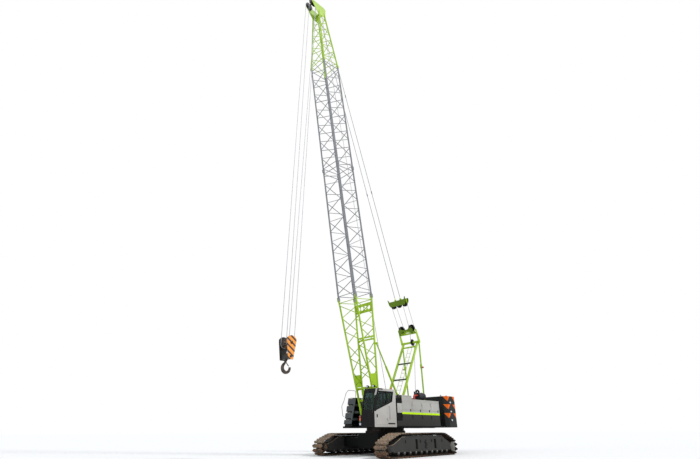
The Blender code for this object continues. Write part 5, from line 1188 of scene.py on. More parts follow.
@dataclass
class Locker:
    """The stepped locker at the machine's right front and its bent handrail."""

    bench: Bench
    outer_x: float = -1.50
    inner_x: float = -0.87
    rear_y: float = -1.02
    floor: float = 1.4203
    top: float = 2.90

    def front(self, z: float) -> float:
        """Return the leaning front's place along the machine at a height."""
        return -1.90 + 0.29 * (z - self.floor)

    def shape(self) -> None:
        """Build the locker's core, its panels and the three treads cut into its front; the core's black
        is painted shade in the gaps between the panels.
        """
        low, high = self.floor, self.top
        core = [spot(self.outer_x + 0.02, self.front(low) + 0.10, low),
                spot(self.outer_x + 0.02, self.rear_y, low),
                spot(self.outer_x + 0.02, self.rear_y, high - 0.02),
                spot(self.outer_x + 0.02, self.front(high) + 0.10, high - 0.02)]
        inside = self.bench.plate(core, (self.inner_x - self.outer_x - 0.03, 0.0, 0.0), 0.006)
        # The core's black is painted shade: it shows as dark recesses in the gaps between the panels.
        piece = self.bench.settle("step_locker_core", [inside], Body.UPPERWORKS, "black",
                                  Slot.BLACK)
        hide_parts("step_box")
        levels = (low + 0.10, 1.74, 2.10, 2.47, high)
        panels, treads = [], []
        width = self.inner_x - self.outer_x
        for index, (bottom, top) in enumerate(zip(levels, levels[1:])):
            bottom += 0.075 if index else 0.0
            corners = [spot(self.outer_x, self.front(bottom) + 0.012, bottom),
                       spot(self.outer_x, self.rear_y - 0.01, bottom),
                       spot(self.outer_x, self.rear_y - 0.01, top),
                       spot(self.outer_x, self.front(top) - 0.012, top)]
            panels.append(self.bench.plate(corners, (width, 0.0, 0.0), 0.022))
            if index < 3:
                treads.append(self.bench.block(
                    spot(self.outer_x + 0.03, self.front(top) - 0.02, top - 0.004),
                    spot(self.outer_x + width * 0.7, self.front(top) + 0.11, top + 0.014), 0.005))
        side = [spot(self.inner_x - 0.13, self.front(low + 0.10), low + 0.10),
                spot(self.inner_x - 0.13, self.rear_y - 0.02, low + 0.10),
                spot(self.inner_x - 0.13, self.rear_y - 0.02, high - 0.01),
                spot(self.inner_x - 0.13, self.front(high), high - 0.01)]
        panels.append(self.bench.plate(side, (0.13, 0.0, 0.0), 0.02))
        self.bench.settle("step_locker_panels", panels, Body.UPPERWORKS, "step_grey", Slot.DARK)
        self.bench.settle("step_locker_treads", treads, Body.UPPERWORKS, "cream", Slot.PANEL)
        patch = self.bench.block(spot(-1.40, self.front(high) - 0.022, high - 0.13),
                                 spot(-1.12, self.front(high) + 0.30, high + 0.010), 0.012)
        self.bench.settle("step_locker_top", [patch], Body.UPPERWORKS, "cream", Slot.PANEL)

    def rail(self) -> None:
        """Build the handrail that rises beside the steps and levels out towards the boom."""
        x = self.outer_x - 0.055
        points = [spot(self.outer_x + 0.03, -1.83, 1.93), spot(x, -1.86, 1.95),
                  spot(x, -1.95, 2.45), spot(x, -1.76, 2.77), spot(x, -1.61, 3.16),
                  spot(x, -1.42, 3.345), spot(x, -0.80, 3.345), spot(x, -0.78, 2.80),
                  spot(x, -0.98, 2.74), spot(self.outer_x + 0.02, -1.04, 2.74)]
        rail = self.bench.pipe(points, 0.018, 2, 0.045)
        piece = self.bench.settle("bent_handrail", [rail], Body.UPPERWORKS, "rail", Slot.RAIL, 60.0)
        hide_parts("handrail")

    def build(self) -> None:
        """Build the locker's pieces."""
        self.shape()
        self.rail()


@dataclass
class Housing:
    """Latches, door pressings, louvres and service covers of the two housings."""

    bench: Bench
    face_x: float = 1.60
    edges: tuple[float, ...] = (-0.40, 0.54, 1.47, 2.37, 3.27)
    latch_z: float = 2.145
    latch_height: float = 0.12
    latch_width: float = 0.075
    louvre_low: float = 2.60
    louvre_high: float = 2.93
    louvres: int = 7

    def latch(self, rear: float) -> list[bpy.types.Object]:
        """Make one door's latch: a cup, its paddle and its lock."""
        face, low = self.face_x, self.latch_z
        cup = self.bench.block(spot(face - 0.006, rear - 0.2025, low),
                               spot(face + 0.008, rear - 0.2025 + self.latch_width,
                                    low + self.latch_height), 0.005)
        paddle = self.bench.block(spot(face + 0.006, rear - 0.1905, low + 0.045),
                                  spot(face + 0.020, rear - 0.2145 + self.latch_width,
                                       low + self.latch_height - 0.012), 0.005)
        lock = self.bench.rod(spot(face + 0.004, rear - 0.165, low + 0.022),
                              spot(face + 0.014, rear - 0.165, low + 0.022), 0.011, 16, 0.002)
        return [cup, paddle, lock]

    def door_frame(self, front: float, rear: float) -> list[bpy.types.Object]:
        """Make the raised pressing that runs round a door's upper panel."""
        face = self.face_x - 0.002
        low, high = 2.235, 2.66
        front, rear = front + 0.075, rear - 0.075
        wide, out, top = 0.014, face + 0.008, high + 0.014
        rows = ((front, low, rear, low + wide), (front, high, rear, top),
                (front, low, front + wide, top), (rear - wide, low, rear, top))
        return [self.bench.block(spot(face, y, z), spot(out, far, above), 0.003)
                for y, z, far, above in rows]

    def intake(self) -> list[bpy.types.Object]:
        """Make the slats of the air intake in front of the first door."""
        forms = []
        step = (self.louvre_high - self.louvre_low) / self.louvres
        for index in range(self.louvres):
            low = self.louvre_low + index * step
            corners = [spot(self.face_x - 0.004, -0.82, low),
                       spot(self.face_x + 0.022, -0.82, low - 0.008),
                       spot(self.face_x + 0.022, -0.82, low + 0.002),
                       spot(self.face_x - 0.004, -0.82, low + 0.032)]
            forms.append(self.bench.plate(corners, (0.0, 0.38, 0.0)))
        frame_rows = (((-0.845, 2.565), (-0.815, 2.945)), ((-0.445, 2.565), (-0.415, 2.945)),
                      ((-0.845, 2.565), (-0.415, 2.592)), ((-0.845, 2.928), (-0.415, 2.945)))
        for (front, low), (rear, high) in frame_rows:
            forms.append(self.bench.block(spot(self.face_x - 0.004, front, low),
                                          spot(self.face_x + 0.026, rear, high), 0.004))
        return forms

    def service_box(self) -> list[bpy.types.Object]:
        """Make the small cover under the air intake."""
        cover = self.bench.block(spot(self.face_x - 0.004, -0.83, 2.05),
                                 spot(self.face_x + 0.022, -0.43, 2.53), 0.014, 3)
        return [cover]

    def build(self) -> None:
        """Build both sides' pieces."""
        for index, (front, rear) in enumerate(zip(self.edges, self.edges[1:]), 1):
            door = f"{{side}}_door_{index}"
            self.bench.pair(f"latch_{index}", self.latch(rear), door, "black", Slot.BLACK)
            self.bench.pair(f"door_pressing_{index}", self.door_frame(front, rear), door, "house",
                            Slot.PANEL)
        self.bench.pair("intake_louvres", self.intake(), Body.UPPERWORKS, "black", Slot.BLACK)
        self.bench.pair("service_cover", self.service_box(), Body.UPPERWORKS, "panel", Slot.PANEL)


@dataclass
class EngineDeck:
    """The red intake pipe, the exhaust elbow and the air cleaner on the housing's roof."""

    bench: Bench
    x: float = 1.12
    roof_z: float = 2.78
    cleaner_z: float = 3.03

    def intake_pipe(self) -> list[bpy.types.Object]:
        """Make the red pipe with its clips."""
        x = self.x
        pipe = self.bench.pipe([spot(x, 1.40, self.roof_z - 0.02), spot(x, 1.46, 3.06),
                                spot(x, 1.82, 3.06)], 0.062, 3, 0.11)
        clips = [self.bench.ring(spot(x, 1.412, 2.84), (0.0, 0.2, 1.0), 0.064, 0.008, 24),
                 self.bench.ring(spot(x, 1.74, 3.06), (0.0, 1.0, 0.0), 0.064, 0.008, 24)]
        return [pipe] + clips

    def exhaust(self) -> list[bpy.types.Object]:
        """Make the exhaust's curled outlet, its clamp and its foot."""
        x = self.x
        stack = self.bench.pipe([spot(x, 1.97, self.roof_z), spot(x, 1.97, 3.33),
                                 spot(x, 1.76, 3.36), spot(x, 1.70, 3.26)], 0.055, 3, 0.09)
        foot = self.bench.block(spot(x - 0.15, 1.82, self.roof_z - 0.004),
                                spot(x + 0.15, 2.12, self.roof_z + 0.05), 0.012)
        clamp = self.bench.ring(spot(x, 1.97, 3.02), (0.0, 0.0, 1.0), 0.058, 0.010, 24)
        return [stack, foot, clamp]

    def cleaner_bands(self) -> list[bpy.types.Object]:
        """Make the bands round the air cleaner on the roof."""
        low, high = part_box("muffler")
        centre = (Vector(low) + Vector(high)) / 2
        bands = []
        for share in (0.22, 0.78):
            y = low[1] + (high[1] - low[1]) * share
            bands.append(self.bench.ring((centre.x, y, self.cleaner_z), (0.0, 1.0, 0.0), 0.203,
                                         0.012, 40))
        return bands

    def build(self) -> None:
        """Build the deck's pieces."""
        self.bench.settle("intake_pipe", self.intake_pipe(), Body.UPPERWORKS, "red", Slot.AMBER,
                          60.0)
        self.bench.settle("exhaust_outlet", self.exhaust(), Body.UPPERWORKS, "black", Slot.BLACK,
                          60.0)
        self.bench.settle("air_cleaner_bands", self.cleaner_bands(), Body.UPPERWORKS, "dark",
                          Slot.DARK)


@dataclass
class Cab:
    """Mirror, wiper, lamps, handle, step, seat and controls of the driver's cab."""

    bench: Bench
    side_x: float = 1.57
    inner_x: float = 0.673
    lamp_z: float = 3.305
    lamp_y: float = -2.44
    cushion_top: float = 1.92

    def mirror(self) -> None:
        """Build the mirror on its arm at the cab's front corner."""
        arm = self.bench.pipe([spot(1.50, -2.46, 3.14), spot(1.60, -2.52, 3.16),
                               spot(1.63, -2.58, 3.10)], 0.011, 2, 0.03)
        corners = [spot(1.60, -2.50, 3.17), spot(1.70, -2.50, 3.17), spot(1.70, -2.64, 2.83),
                   spot(1.60, -2.64, 2.83)]
        shell = self.bench.plate(corners, (0.0, -0.035, 0.014), 0.010)
        self.bench.settle("cab_mirror", [arm, shell], Body.UPPERWORKS, "panel", Slot.PANEL)

    def wiper(self) -> None:
        """Build the windshield's wiper, parked upright at its right edge."""
        def on_glass(x: float, z: float, out: float) -> Vector:
            return spot(x, -2.69 + (z - 2.10) * 0.235 - out, z)

        arm = self.bench.pipe([on_glass(1.50, 2.05, 0.03), on_glass(1.50, 2.12, 0.05),
                               on_glass(1.455, 2.30, 0.035)], 0.011, 2, 0.02)
        blade = self.bench.plate([on_glass(1.455, 2.16, 0.020), on_glass(1.480, 2.16, 0.020),
                                  on_glass(1.435, 2.46, 0.020), on_glass(1.410, 2.46, 0.020)],
                                 (0.0, -0.014, 0.0), 0.003)
        pivot = self.bench.rod(on_glass(1.50, 2.04, 0.0), on_glass(1.50, 2.04, 0.045), 0.030, 16,
                               0.004)
        self.bench.settle("windshield_wiper", [arm, blade, pivot], Body.UPPERWORKS, "dark",
                          Slot.DARK)

    def work_lamps(self) -> None:
        """Build the lenses and rims of the two roof lamps."""
        lenses, rims = [], []
        front = self.lamp_y
        for x in (self.inner_x + 0.224, self.side_x - 0.224):
            lenses.append(self.bench.rod(spot(x, front - 0.022, self.lamp_z),
                                         spot(x, front + 0.02, self.lamp_z), 0.052, 28, 0.010))
            rims.append(self.bench.ring(spot(x, front - 0.004, self.lamp_z), (0.0, 1.0, 0.0),
                                        0.062, 0.008, 28))
        self.bench.settle("roof_lamp_lenses", lenses, Body.UPPERWORKS, "clear_lens", Slot.GLASS)
        self.bench.settle("roof_lamp_rims", rims, Body.UPPERWORKS, "black", Slot.BLACK)

    def signal_lamps(self) -> None:
        """Build the stack of signal lamps beside the cab's front."""
        x, y = 0.44, -2.52
        rows = (("red_signal_lens", "red_lens", 1.80, 1.90), ("amber_signal_lens", "amber", 1.66, 1.79),
                ("green_signal_lens", "green_lens", 1.56, 1.65),
                ("clear_signal_lens", "clear_lens", 1.45, 1.55))
        box = self.bench.block(spot(x - 0.075, y + 0.002, 1.43), spot(x + 0.075, y + 0.09, 1.93),
                               0.012)
        arm = self.bench.block(spot(x - 0.03, y + 0.03, 1.55), spot(0.69, y + 0.08, 1.62), 0.006)
        self.bench.settle("signal_lamp_box", [box, arm], Body.UPPERWORKS, "black", Slot.BLACK)
        for name, finish, low, high in rows:
            lens = self.bench.block(spot(x - 0.06, y - 0.028, low), spot(x + 0.06, y + 0.01, high),
                                    0.014, 3)
            self.bench.settle(name, [lens], Body.UPPERWORKS, finish, Slot.AMBER)

    def door_fittings(self) -> None:
        """Build the cup and the paddle of the door's handle."""
        cup = self.bench.block(spot(self.side_x - 0.004, -2.50, 1.80),
                               spot(self.side_x + 0.010, -2.42, 1.95), 0.008)
        paddle = self.bench.block(spot(self.side_x + 0.006, -2.488, 1.835),
                                  spot(self.side_x + 0.026, -2.432, 1.93), 0.008)
        self.bench.settle("door_handle", [cup, paddle], Body.CAB_DOOR, "black", Slot.BLACK)

    def side_fittings(self) -> None:
        """Build the step bar and the grab rail on the cab's rear quarter."""
        bar = self.bench.block(spot(self.side_x - 0.004, -1.59, 1.495),
                               spot(self.side_x + 0.012, -1.02, 1.555), 0.006)
        rail = self.bench.pipe([spot(self.side_x - 0.01, -1.46, 1.75),
                                spot(self.side_x + 0.045, -1.46, 1.75),
                                spot(self.side_x + 0.045, -1.46, 2.35),
                                spot(self.side_x - 0.01, -1.46, 2.35)], 0.011, 2, 0.03)
        self.bench.settle("cab_step_bar", [bar], Body.UPPERWORKS, "black", Slot.BLACK)
        self.bench.settle("cab_grab_rail", [rail], Body.UPPERWORKS, "rail", Slot.RAIL, 60.0)

    def cushion(self, low: Vector, high: Vector, crown: float) -> bpy.types.Object:
        """Make a crowned pad between two corners.

        Args:
            low: the pad's lowest corner.
            high: the pad's highest corner.
            crown: how far its faces swell.

        Returns:
            The pad.
        """
        pad = self.bench.block(low, high)
        self.bench.pick(pad)
        bpy.ops.object.mode_set(mode="EDIT")
        bpy.ops.mesh.select_all(action="SELECT")
        bpy.ops.mesh.subdivide(number_cuts=7)
        bpy.ops.object.mode_set(mode="OBJECT")
        centre, half = (low + high) / 2, (high - low) / 2
        for vertex in pad.data.vertices:
            away = vertex.co - centre
            share = Vector((away.x / half.x, away.y / half.y, away.z / half.z))
            for axis in range(3):
                others = [share[other] for other in range(3) if other != axis]
                pull = crown * (others[0] ** 4 + others[1] ** 4) / 2
                away[axis] -= math.copysign(pull, away[axis]) * abs(share[axis])
            channel = max(0.0, 1.0 - abs(abs(share.x) - 0.45) / 0.10)
            away.y *= 1.0 - 0.05 * channel
            vertex.co = centre + away
        smooth = pad.modifiers.new("round", "SUBSURF")
        smooth.levels = 1
        smooth.render_levels = 1
        bpy.ops.object.modifier_apply(modifier=smooth.name)
        return pad

    def seat(self) -> None:
        """Build the seat's base, cushion, back and headrest in place of its solid."""
        low, high = (Vector(corner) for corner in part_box("seat"))
        middle = (low.x + high.x) / 2
        top = self.cushion_top
        base = self.bench.block((middle - 0.13, low.y + 0.10, low.z), (middle + 0.13, low.y + 0.40,
                                                                       top - 0.12), 0.02)
        cushion = self.cushion(Vector((low.x + 0.004, low.y + 0.004, top - 0.12)),
                               Vector((high.x - 0.004, low.y + 0.45, top)), 0.022)
        back = self.cushion(Vector((low.x + 0.01, high.y - 0.12, top)),
                            Vector((high.x - 0.01, high.y - 0.004, high.z - 0.16)), 0.025)
        rest = self.cushion(Vector((middle - 0.13, high.y - 0.11, high.z - 0.155)),
                            Vector((middle + 0.13, high.y - 0.01, high.z - 0.004)), 0.02)
        self.bench.settle("seat_pedestal", [base], Body.UPPERWORKS, "black", Slot.BLACK)
        names = (("seat_cushion", cushion), ("seat_back", back), ("seat_headrest", rest))
        for name, pad in names:
            piece = self.bench.settle(name, [pad], Body.UPPERWORKS, "cloth", Slot.SEAT, 70.0)
            if name == "seat_cushion":
                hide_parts("seat")

    def controls(self) -> None:
        """Build the levers and the display inside the cab."""
        low, high = (Vector(corner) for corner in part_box("console"))
        forms = []
        for share in (0.25, 0.6):
            foot = Vector(((low.x + high.x) / 2, low.y + (high.y - low.y) * share, high.z - 0.01))
            tip = foot + Vector((0.0, -0.03, 0.17))
            forms.append(self.bench.rod(foot, tip, 0.010, 10, 0.002))
            forms.append(self.bench.rod(tip - Vector((0.0, 0.0, 0.02)), tip + Vector((0.0, 0.0, 0.05)),
                                        0.020, 14, 0.008))
        forms.append(self.bench.plate([spot(1.26, -2.34, 2.16), spot(1.46, -2.30, 2.16),
                                       spot(1.46, -2.26, 2.32), spot(1.26, -2.30, 2.32)],
                                      (0.0, 0.03, 0.0), 0.008))
        forms.append(self.bench.pipe([spot(1.36, -2.30, 2.20), spot(1.36, -2.42, 2.08)], 0.012, 2))
        self.bench.settle("cab_controls", forms, Body.UPPERWORKS, "black", Slot.BLACK)

    def build(self) -> None:
        """Build the cab's pieces."""
        self.mirror()
        self.wiper()
        self.work_lamps()
        self.signal_lamps()
        self.door_fittings()
        self.side_fittings()
        self.seat()
        self.controls()


@dataclass
class Counterweight:
    """The lifting pins and top eyes of the counterweight slabs."""

    bench: Bench
    face_x: float = 1.65
    pin_y: float = 4.45
    pin_zs: tuple[float, ...] = (1.76, 2.24, 2.76)
    top_z: float = 3.13

    def build(self) -> None:
        """Build the counterweight's fittings."""
        pins, plates = [], []
        for z in self.pin_zs:
            pins.append(self.bench.rod(spot(self.face_x - 0.02, self.pin_y, z),
                                       spot(self.face_x + 0.075, self.pin_y, z), 0.050, 24, 0.012))
            plates.append(self.bench.rod(spot(self.face_x - 0.01, self.pin_y, z),
                                         spot(self.face_x + 0.016, self.pin_y, z), 0.100, 28, 0.006))
            plates.append(self.bench.rod(spot(self.face_x + 0.01, self.pin_y, z + 0.135),
                                         spot(self.face_x + 0.03, self.pin_y, z + 0.135), 0.020, 6,
                                         0.003))
        self.bench.pair("lifting_pins", pins, Body.UPPERWORKS, "white", Slot.PANEL)
        self.bench.pair("pin_plates", plates, Body.UPPERWORKS, "weight", Slot.DARK)
        eyes = []
        for x in (-1.05, 1.05):
            for y in (4.45, 5.10):
                eyes.append(self.bench.ring(spot(x, y, self.top_z + 0.045), (1.0, 0.0, 0.0), 0.055,
                                            0.016, 20))
                eyes.append(self.bench.rod(spot(x, y, self.top_z - 0.004),
                                           spot(x, y, self.top_z + 0.012), 0.045, 16, 0.004))
        self.bench.settle("counterweight_top_eyes", eyes, Body.UPPERWORKS, "weight", Slot.DARK)


@dataclass
class Gantry:
    """Ladder, guide pulley and markers of the luffing gantry."""

    bench: Bench
    foot: tuple[float, float] = (0.42, 1.84)
    head: tuple[float, float] = GANTRY_HEAD
    rear_foot: tuple[float, float] = (3.28, 1.84)
    ladder_half: float = 0.15
    rung_gap: float = 0.30
    marker_share: float = 0.645
    pulley_x: float = 0.16

    def on_legs(self, x: float, share: float, out: float = 0.0) -> Vector:
        """Return a place on the front legs' plane, a share of the way up."""
        way = Vector((self.head[0] - self.foot[0], self.head[1] - self.foot[1]))
        place = Vector(self.foot) + way * share
        normal = Vector((way.y, -way.x)).normalized() * out
        return spot(x, place.x + normal.x, place.y + normal.y)

    def ladder(self) -> None:
        """Build the ladder that hangs behind the front legs."""
        low, high, out = 0.16, 0.93, 0.10
        forms = [self.bench.pipe([self.on_legs(side * self.ladder_half, low, out),
                                  self.on_legs(side * self.ladder_half, high, out)], 0.012, 2)
                 for side in (-1.0, 1.0)]
        length = math.dist(self.foot, self.head) * (high - low)
        count = int(length / self.rung_gap)
        rung = self.bench.rod(self.on_legs(-self.ladder_half, low + 0.02, out),
                              self.on_legs(self.ladder_half, low + 0.02, out), 0.010, 8)
        way = self.on_legs(0.0, 1.0) - self.on_legs(0.0, 0.0)
        step = way.normalized() * self.rung_gap
        forms += [rung] + self.bench.copies(rung, [step * index for index in range(1, count)])
        for share in (0.47, 0.69, 0.925):
            for side in (-1.0, 1.0):
                forms.append(self.bench.rod(self.on_legs(side * self.ladder_half, share),
                                            self.on_legs(side * self.ladder_half, share, out),
                                            0.010, 8))
        self.bench.settle("gantry_ladder", forms, Body.UPPERWORKS, "lime", Slot.LIME)

    def markers(self) -> None:
        """Build the red reflectors on the rear legs' clamps."""
        share = self.marker_share
        y = self.rear_foot[0] + (self.head[0] - self.rear_foot[0]) * share
        z = self.rear_foot[1] + (self.head[1] - self.rear_foot[1]) * share
        left = [self.bench.block(spot(0.69, y - 0.05, z - 0.045), spot(0.82, y + 0.05, z + 0.045),
                                 0.012)]
        # The red lens finish glows faintly: a painted glow on these reflectors, which give no light of
        # their own.
        self.bench.pair("leg_marker", left, Body.UPPERWORKS, "red_lens", Slot.AMBER)

    def pulley(self) -> None:
        """Build the guide pulley on the gantry's head shaft."""
        centre = spot(self.pulley_x, *self.head)
        rim = self.bench.ring(centre, (1.0, 0.0, 0.0), 0.195, 0.028, 40)
        web = self.bench.rod(centre - Vector((0.018, 0.0, 0.0)), centre + Vector((0.018, 0.0, 0.0)),
                             0.185, 36, 0.004)
        hub = self.bench.rod(centre - Vector((0.06, 0.0, 0.0)), centre + Vector((0.06, 0.0, 0.0)),
                             0.10, 24, 0.008)
        self.bench.settle("gantry_pulley", [rim, web, hub], Body.UPPERWORKS, "black", Slot.BLACK)

    def build(self) -> None:
        """Build the gantry's pieces."""
        self.ladder()
        self.markers()
        self.pulley()


@dataclass
class Rigging:
    """The luffing and hoisting ropes, and the sheaves and cheeks of the spreaders."""

    bench: Bench
    lower: tuple[float, float] = (2.722, 7.381)
    upper: tuple[float, float] = UPPER_SPREADER
    rope_radius: float = 0.015
    sheave_half: float = 0.064
    fall_length: float = 27.20
    head_turn: float = 0.3165
    block_turn: float = 0.2365
    bail_lean: float = BAIL_LEAN
    bail_rise: float = 0.94
    spreader_drop: float = -0.12
    fall_x: float = 0.22
    lead_x: float = 0.16
    drum_y: float = 2.58

    def line(self, name: str, points: Sequence[Vector], cuts: int = 1) -> bpy.types.Object:
        """Make a straight rope.

        Args:
            name: the rope's name.
            points: its ends and corners.
            cuts: the number of sections between two points.

        Returns:
            The rope, not yet bound to any body.
        """
        dense = [points[0]]
        for first, last in zip(points, points[1:]):
            dense += [first.lerp(last, step / cuts) for step in range(1, cuts + 1)]
        rope = self.bench.pipe(dense, self.rope_radius, 1)
        self.bench.pick(rope)
        self.bench.coat(rope, name, "rope", Slot.ROPE, 60.0)
        return rope

    def luffing_falls(self) -> None:
        """Build the four straight falls between the two spreaders' sheaves."""
        rows = ((-0.64, -0.67), (-0.22, -0.29), (0.22, 0.29), (0.64, 0.67))
        low, high = self.bail_rise, self.spreader_drop
        start, end = self.on_bail(0.0, 0.0, low), self.on_spreader(0.0, 0.0, high)
        for index, (low_x, high_x) in enumerate(rows, 1):
            rope = self.line(f"luffing_fall_{index}", [self.on_bail(low_x, 0.0, low),
                                                       self.on_spreader(high_x, 0.0, high)])
            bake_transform(rope)

    def hoist_line(self) -> None:
        """Build the hoist line from the front drum straight up to the boom's head."""
        low = spot(-0.10, 0.62, 2.08)
        top = boom_spot(-0.08, PENDANT_BACK + 0.14, PENDANT_ALONG)
        rope = self.line("hoist_line", [low, top])
        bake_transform(rope)

    def on_fall(self, x: float, out: float, drop: float) -> Vector:
        """Return a place on the hoist falls, below the head sheaves' shaft."""
        return Vector((x, FALLS_Y, BLOCK_Z + self.fall_length - drop)) + Vector((0.0, out, 0.0))

    def wrap(self, x: float, radius: float, drop: float, start: float,
             end: float) -> bpy.types.Object:
        """Make the stretch of rope that lies round a sheave.

        Args:
            x: the sheave's middle across the machine.
            radius: the rope's radius round the shaft.
            drop: the shaft's depth below the head sheaves' shaft.
            start: the stretch's first angle in degrees.
            end: its last angle in degrees.

        Returns:
            The rope's form.
        """
        angles = [math.radians(start + (end - start) * step / 12) for step in range(13)]
        points = [self.on_fall(x, radius * math.cos(angle), drop - radius * math.sin(angle))
                  for angle in angles]
        return self.bench.pipe(points, self.rope_radius, 1)

    def hoist_falls(self) -> None:
        """Build the hoist rope's falls and the wraps round the sheaves; the wraps under the block ride
        on the hook block.
        """
        top, low, drop = self.head_turn, self.block_turn, self.fall_length
        x = self.fall_x
        over = [self.wrap(-x, top, 0.0, 67.5, 180.0), self.wrap(x, top, 0.0, 0.0, 180.0)]
        piece = self.bench.settle("head_rope_wraps", over, Body.FALLS, "rope", Slot.ROPE, 60.0)
        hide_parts("hoist_ropes")
        under = [self.wrap(place, low, drop, 180.0, 360.0) for place in (-x, x)]
        self.bench.settle("block_rope_wraps", under, Body.BLOCK, "rope", Slot.ROPE, 60.0)
        runs = ((-x, -top, -x, -low), (x, top, -x, low), (x, -top, x, -low), (0.30, top, x, low))
        for index, (high_x, high_out, low_x, low_out) in enumerate(runs, 1):
            rope = self.line(f"hoist_fall_{index}", [self.on_fall(high_x, high_out, 0.0),
                                                     self.on_fall(low_x, low_out, drop)])
            tuple(self.on_fall(0.0, 0.0, 0.0))
            tuple(self.on_fall(0.0, 0.0, drop))
            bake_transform(rope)

    def on_spreader(self, x: float, out: float, rise: float) -> Vector:
        """Return a place on the upper spreader, from its centre along the pendants."""
        way = boom_spot(0.0, PENDANT_BACK, PENDANT_ALONG) - spot(0.0, *self.upper)
        way = Vector((0.0, way.y, way.z)).normalized()
        return spot(x, *self.upper) + way * rise + Vector((0.0, way.z, -way.y)) * out

    def on_bail(self, x: float, out: float, rise: float) -> Vector:
        """Return a place on the lower spreader, from the gantry's head shaft."""
        lean = math.radians(self.bail_lean)
        way = Vector((0.0, -math.sin(lean), math.cos(lean)))
        return spot(x, *GANTRY_HEAD) + way * rise + Vector((0.0, way.z, -way.y)) * out

    def sheave(self, place: Callable[[float, float, float], Vector], x: float, rise: float,
               radius: float) -> list[bpy.types.Object]:
        """Make a grooved sheave with its hub on a spreader.

        Args:
            place: the spreader's place function.
            x: the sheave's middle across the machine.
            rise: its place along the spreader.
            radius: its outer radius.

        Returns:
            The sheave's forms.
        """
        half = self.sheave_half
        web = self.bench.rod(place(x, 0.03 - half, rise), place(x, half - 0.03, rise),
                             radius - 0.03, 32)
        way = place(0.0, 1.0, 0.0) - place(0.0, 0.0, 0.0)
        rims = [self.bench.ring(place(x, side * (half - 0.02), rise), way, radius - 0.02, 0.020, 36)
                for side in (-1.0, 1.0)]
        hub = self.bench.rod(place(x, -half - 0.02, rise), place(x, half + 0.02, rise), 0.055, 20,
                             0.006)
        return [web, hub] + rims

    def spreaders(self) -> None:
        """Build the black sheaves of both spreaders and the upper one's cheek plates."""
        upper = [form for x in (-0.48, 0.0, 0.48)
                 for form in self.sheave(self.on_spreader, x, self.spreader_drop, 0.205)]
        self.bench.settle("upper_spreader_sheaves", upper, Body.BOOM, "black", Slot.BLACK)
        lower = [form for x in (-0.42, 0.42)
                 for form in self.sheave(self.on_bail, x, self.bail_rise, 0.235)]
        self.bench.settle("lower_spreader_sheaves", lower, Body.UPPERWORKS, "black", Slot.BLACK)
        plain = ((-0.62, -0.16), (0.62, -0.16), (0.72, 0.0), (0.74, 0.20), (-0.74, 0.20),
                 (-0.72, 0.0))
        eared = ((-0.62, -0.16), (0.62, -0.16), (0.72, 0.0), (0.76, 0.36), (0.70, 0.36),
                 (0.62, 0.20), (-0.62, 0.20), (-0.70, 0.36), (-0.76, 0.36), (-0.72, 0.0))
        cheeks = []
        for out, outline in ((-0.190, eared), (0.178, plain)):
            corners = [self.on_spreader(x, out, rise) for x, rise in outline]
            push = self.on_spreader(0.0, 0.012, 0.0) - self.on_spreader(0.0, 0.0, 0.0)
            cheeks.append(self.bench.plate(corners, push, 0.003))
        drop = self.spreader_drop
        bars = [(x, 0.180, 0.15, 0.032) for x in (-0.66, 0.66)]
        bars += [(x, 0.195, drop, 0.040) for x in (-0.48, 0.0, 0.48)]
        cheeks += [self.bench.rod(self.on_spreader(x, -half, rise), self.on_spreader(x, half, rise),
                                  radius, 16, 0.004) for x, half, rise, radius in bars]
        # the upper spreader's cheeks take painted shade: a darker lime
        self.bench.settle("upper_spreader_cheeks", cheeks, Body.BOOM, "painted_shade_lime", Slot.LIME)
        arch = ((-0.56, 0.60), (-0.61, 0.88), (-0.54, 1.00), (-0.30, 1.00), (-0.20, 0.93),
                (0.20, 0.93), (0.30, 1.00), (0.54, 1.00), (0.61, 0.88), (0.56, 0.60),
                (0.46, 0.58), (0.36, 0.74), (0.22, 0.80), (-0.22, 0.80), (-0.36, 0.74),
                (-0.46, 0.58))
        corners = [self.on_bail(x, -0.228, rise) for x, rise in arch]
        push = self.on_bail(0.0, 0.012, 0.0) - self.on_bail(0.0, 0.0, 0.0)
        cheek = self.bench.plate(corners, push, 0.003)
        ties = [self.bench.rod(self.on_bail(x, -0.225, self.bail_rise),
                               self.on_bail(x, 0.05, self.bail_rise), 0.045, 16, 0.004)
                for x in (-0.42, 0.42)]
        # the lower spreader's cheek takes painted shade: a darker lime
        self.bench.settle("lower_spreader_cheek", [cheek] + ties, Body.UPPERWORKS, "painted_shade_lime",
                          Slot.LIME)

    def lead_line(self) -> None:
        """Build the luffing line from its drum over the gantry's pulley to the lower spreader."""
        x, (y, z) = self.lead_x, GANTRY_HEAD
        runs = (("luffing_lead_line", spot(x, self.drum_y + 0.25, 1.96), spot(x, y + 0.20, z)),
                ("luffing_tail_line", spot(x, y - 0.19, 6.54),
                 spot(0.40, self.lower[0] - 0.19, self.lower[1])))
        for name, low, high in runs:
            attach(self.line(name, [low, high], 2), Body.UPPERWORKS.value)

    def build(self) -> None:
        """Build every rope that the solids leave out."""
        self.luffing_falls()
        self.hoist_line()
        self.hoist_falls()
        self.lead_line()
        self.spreaders()


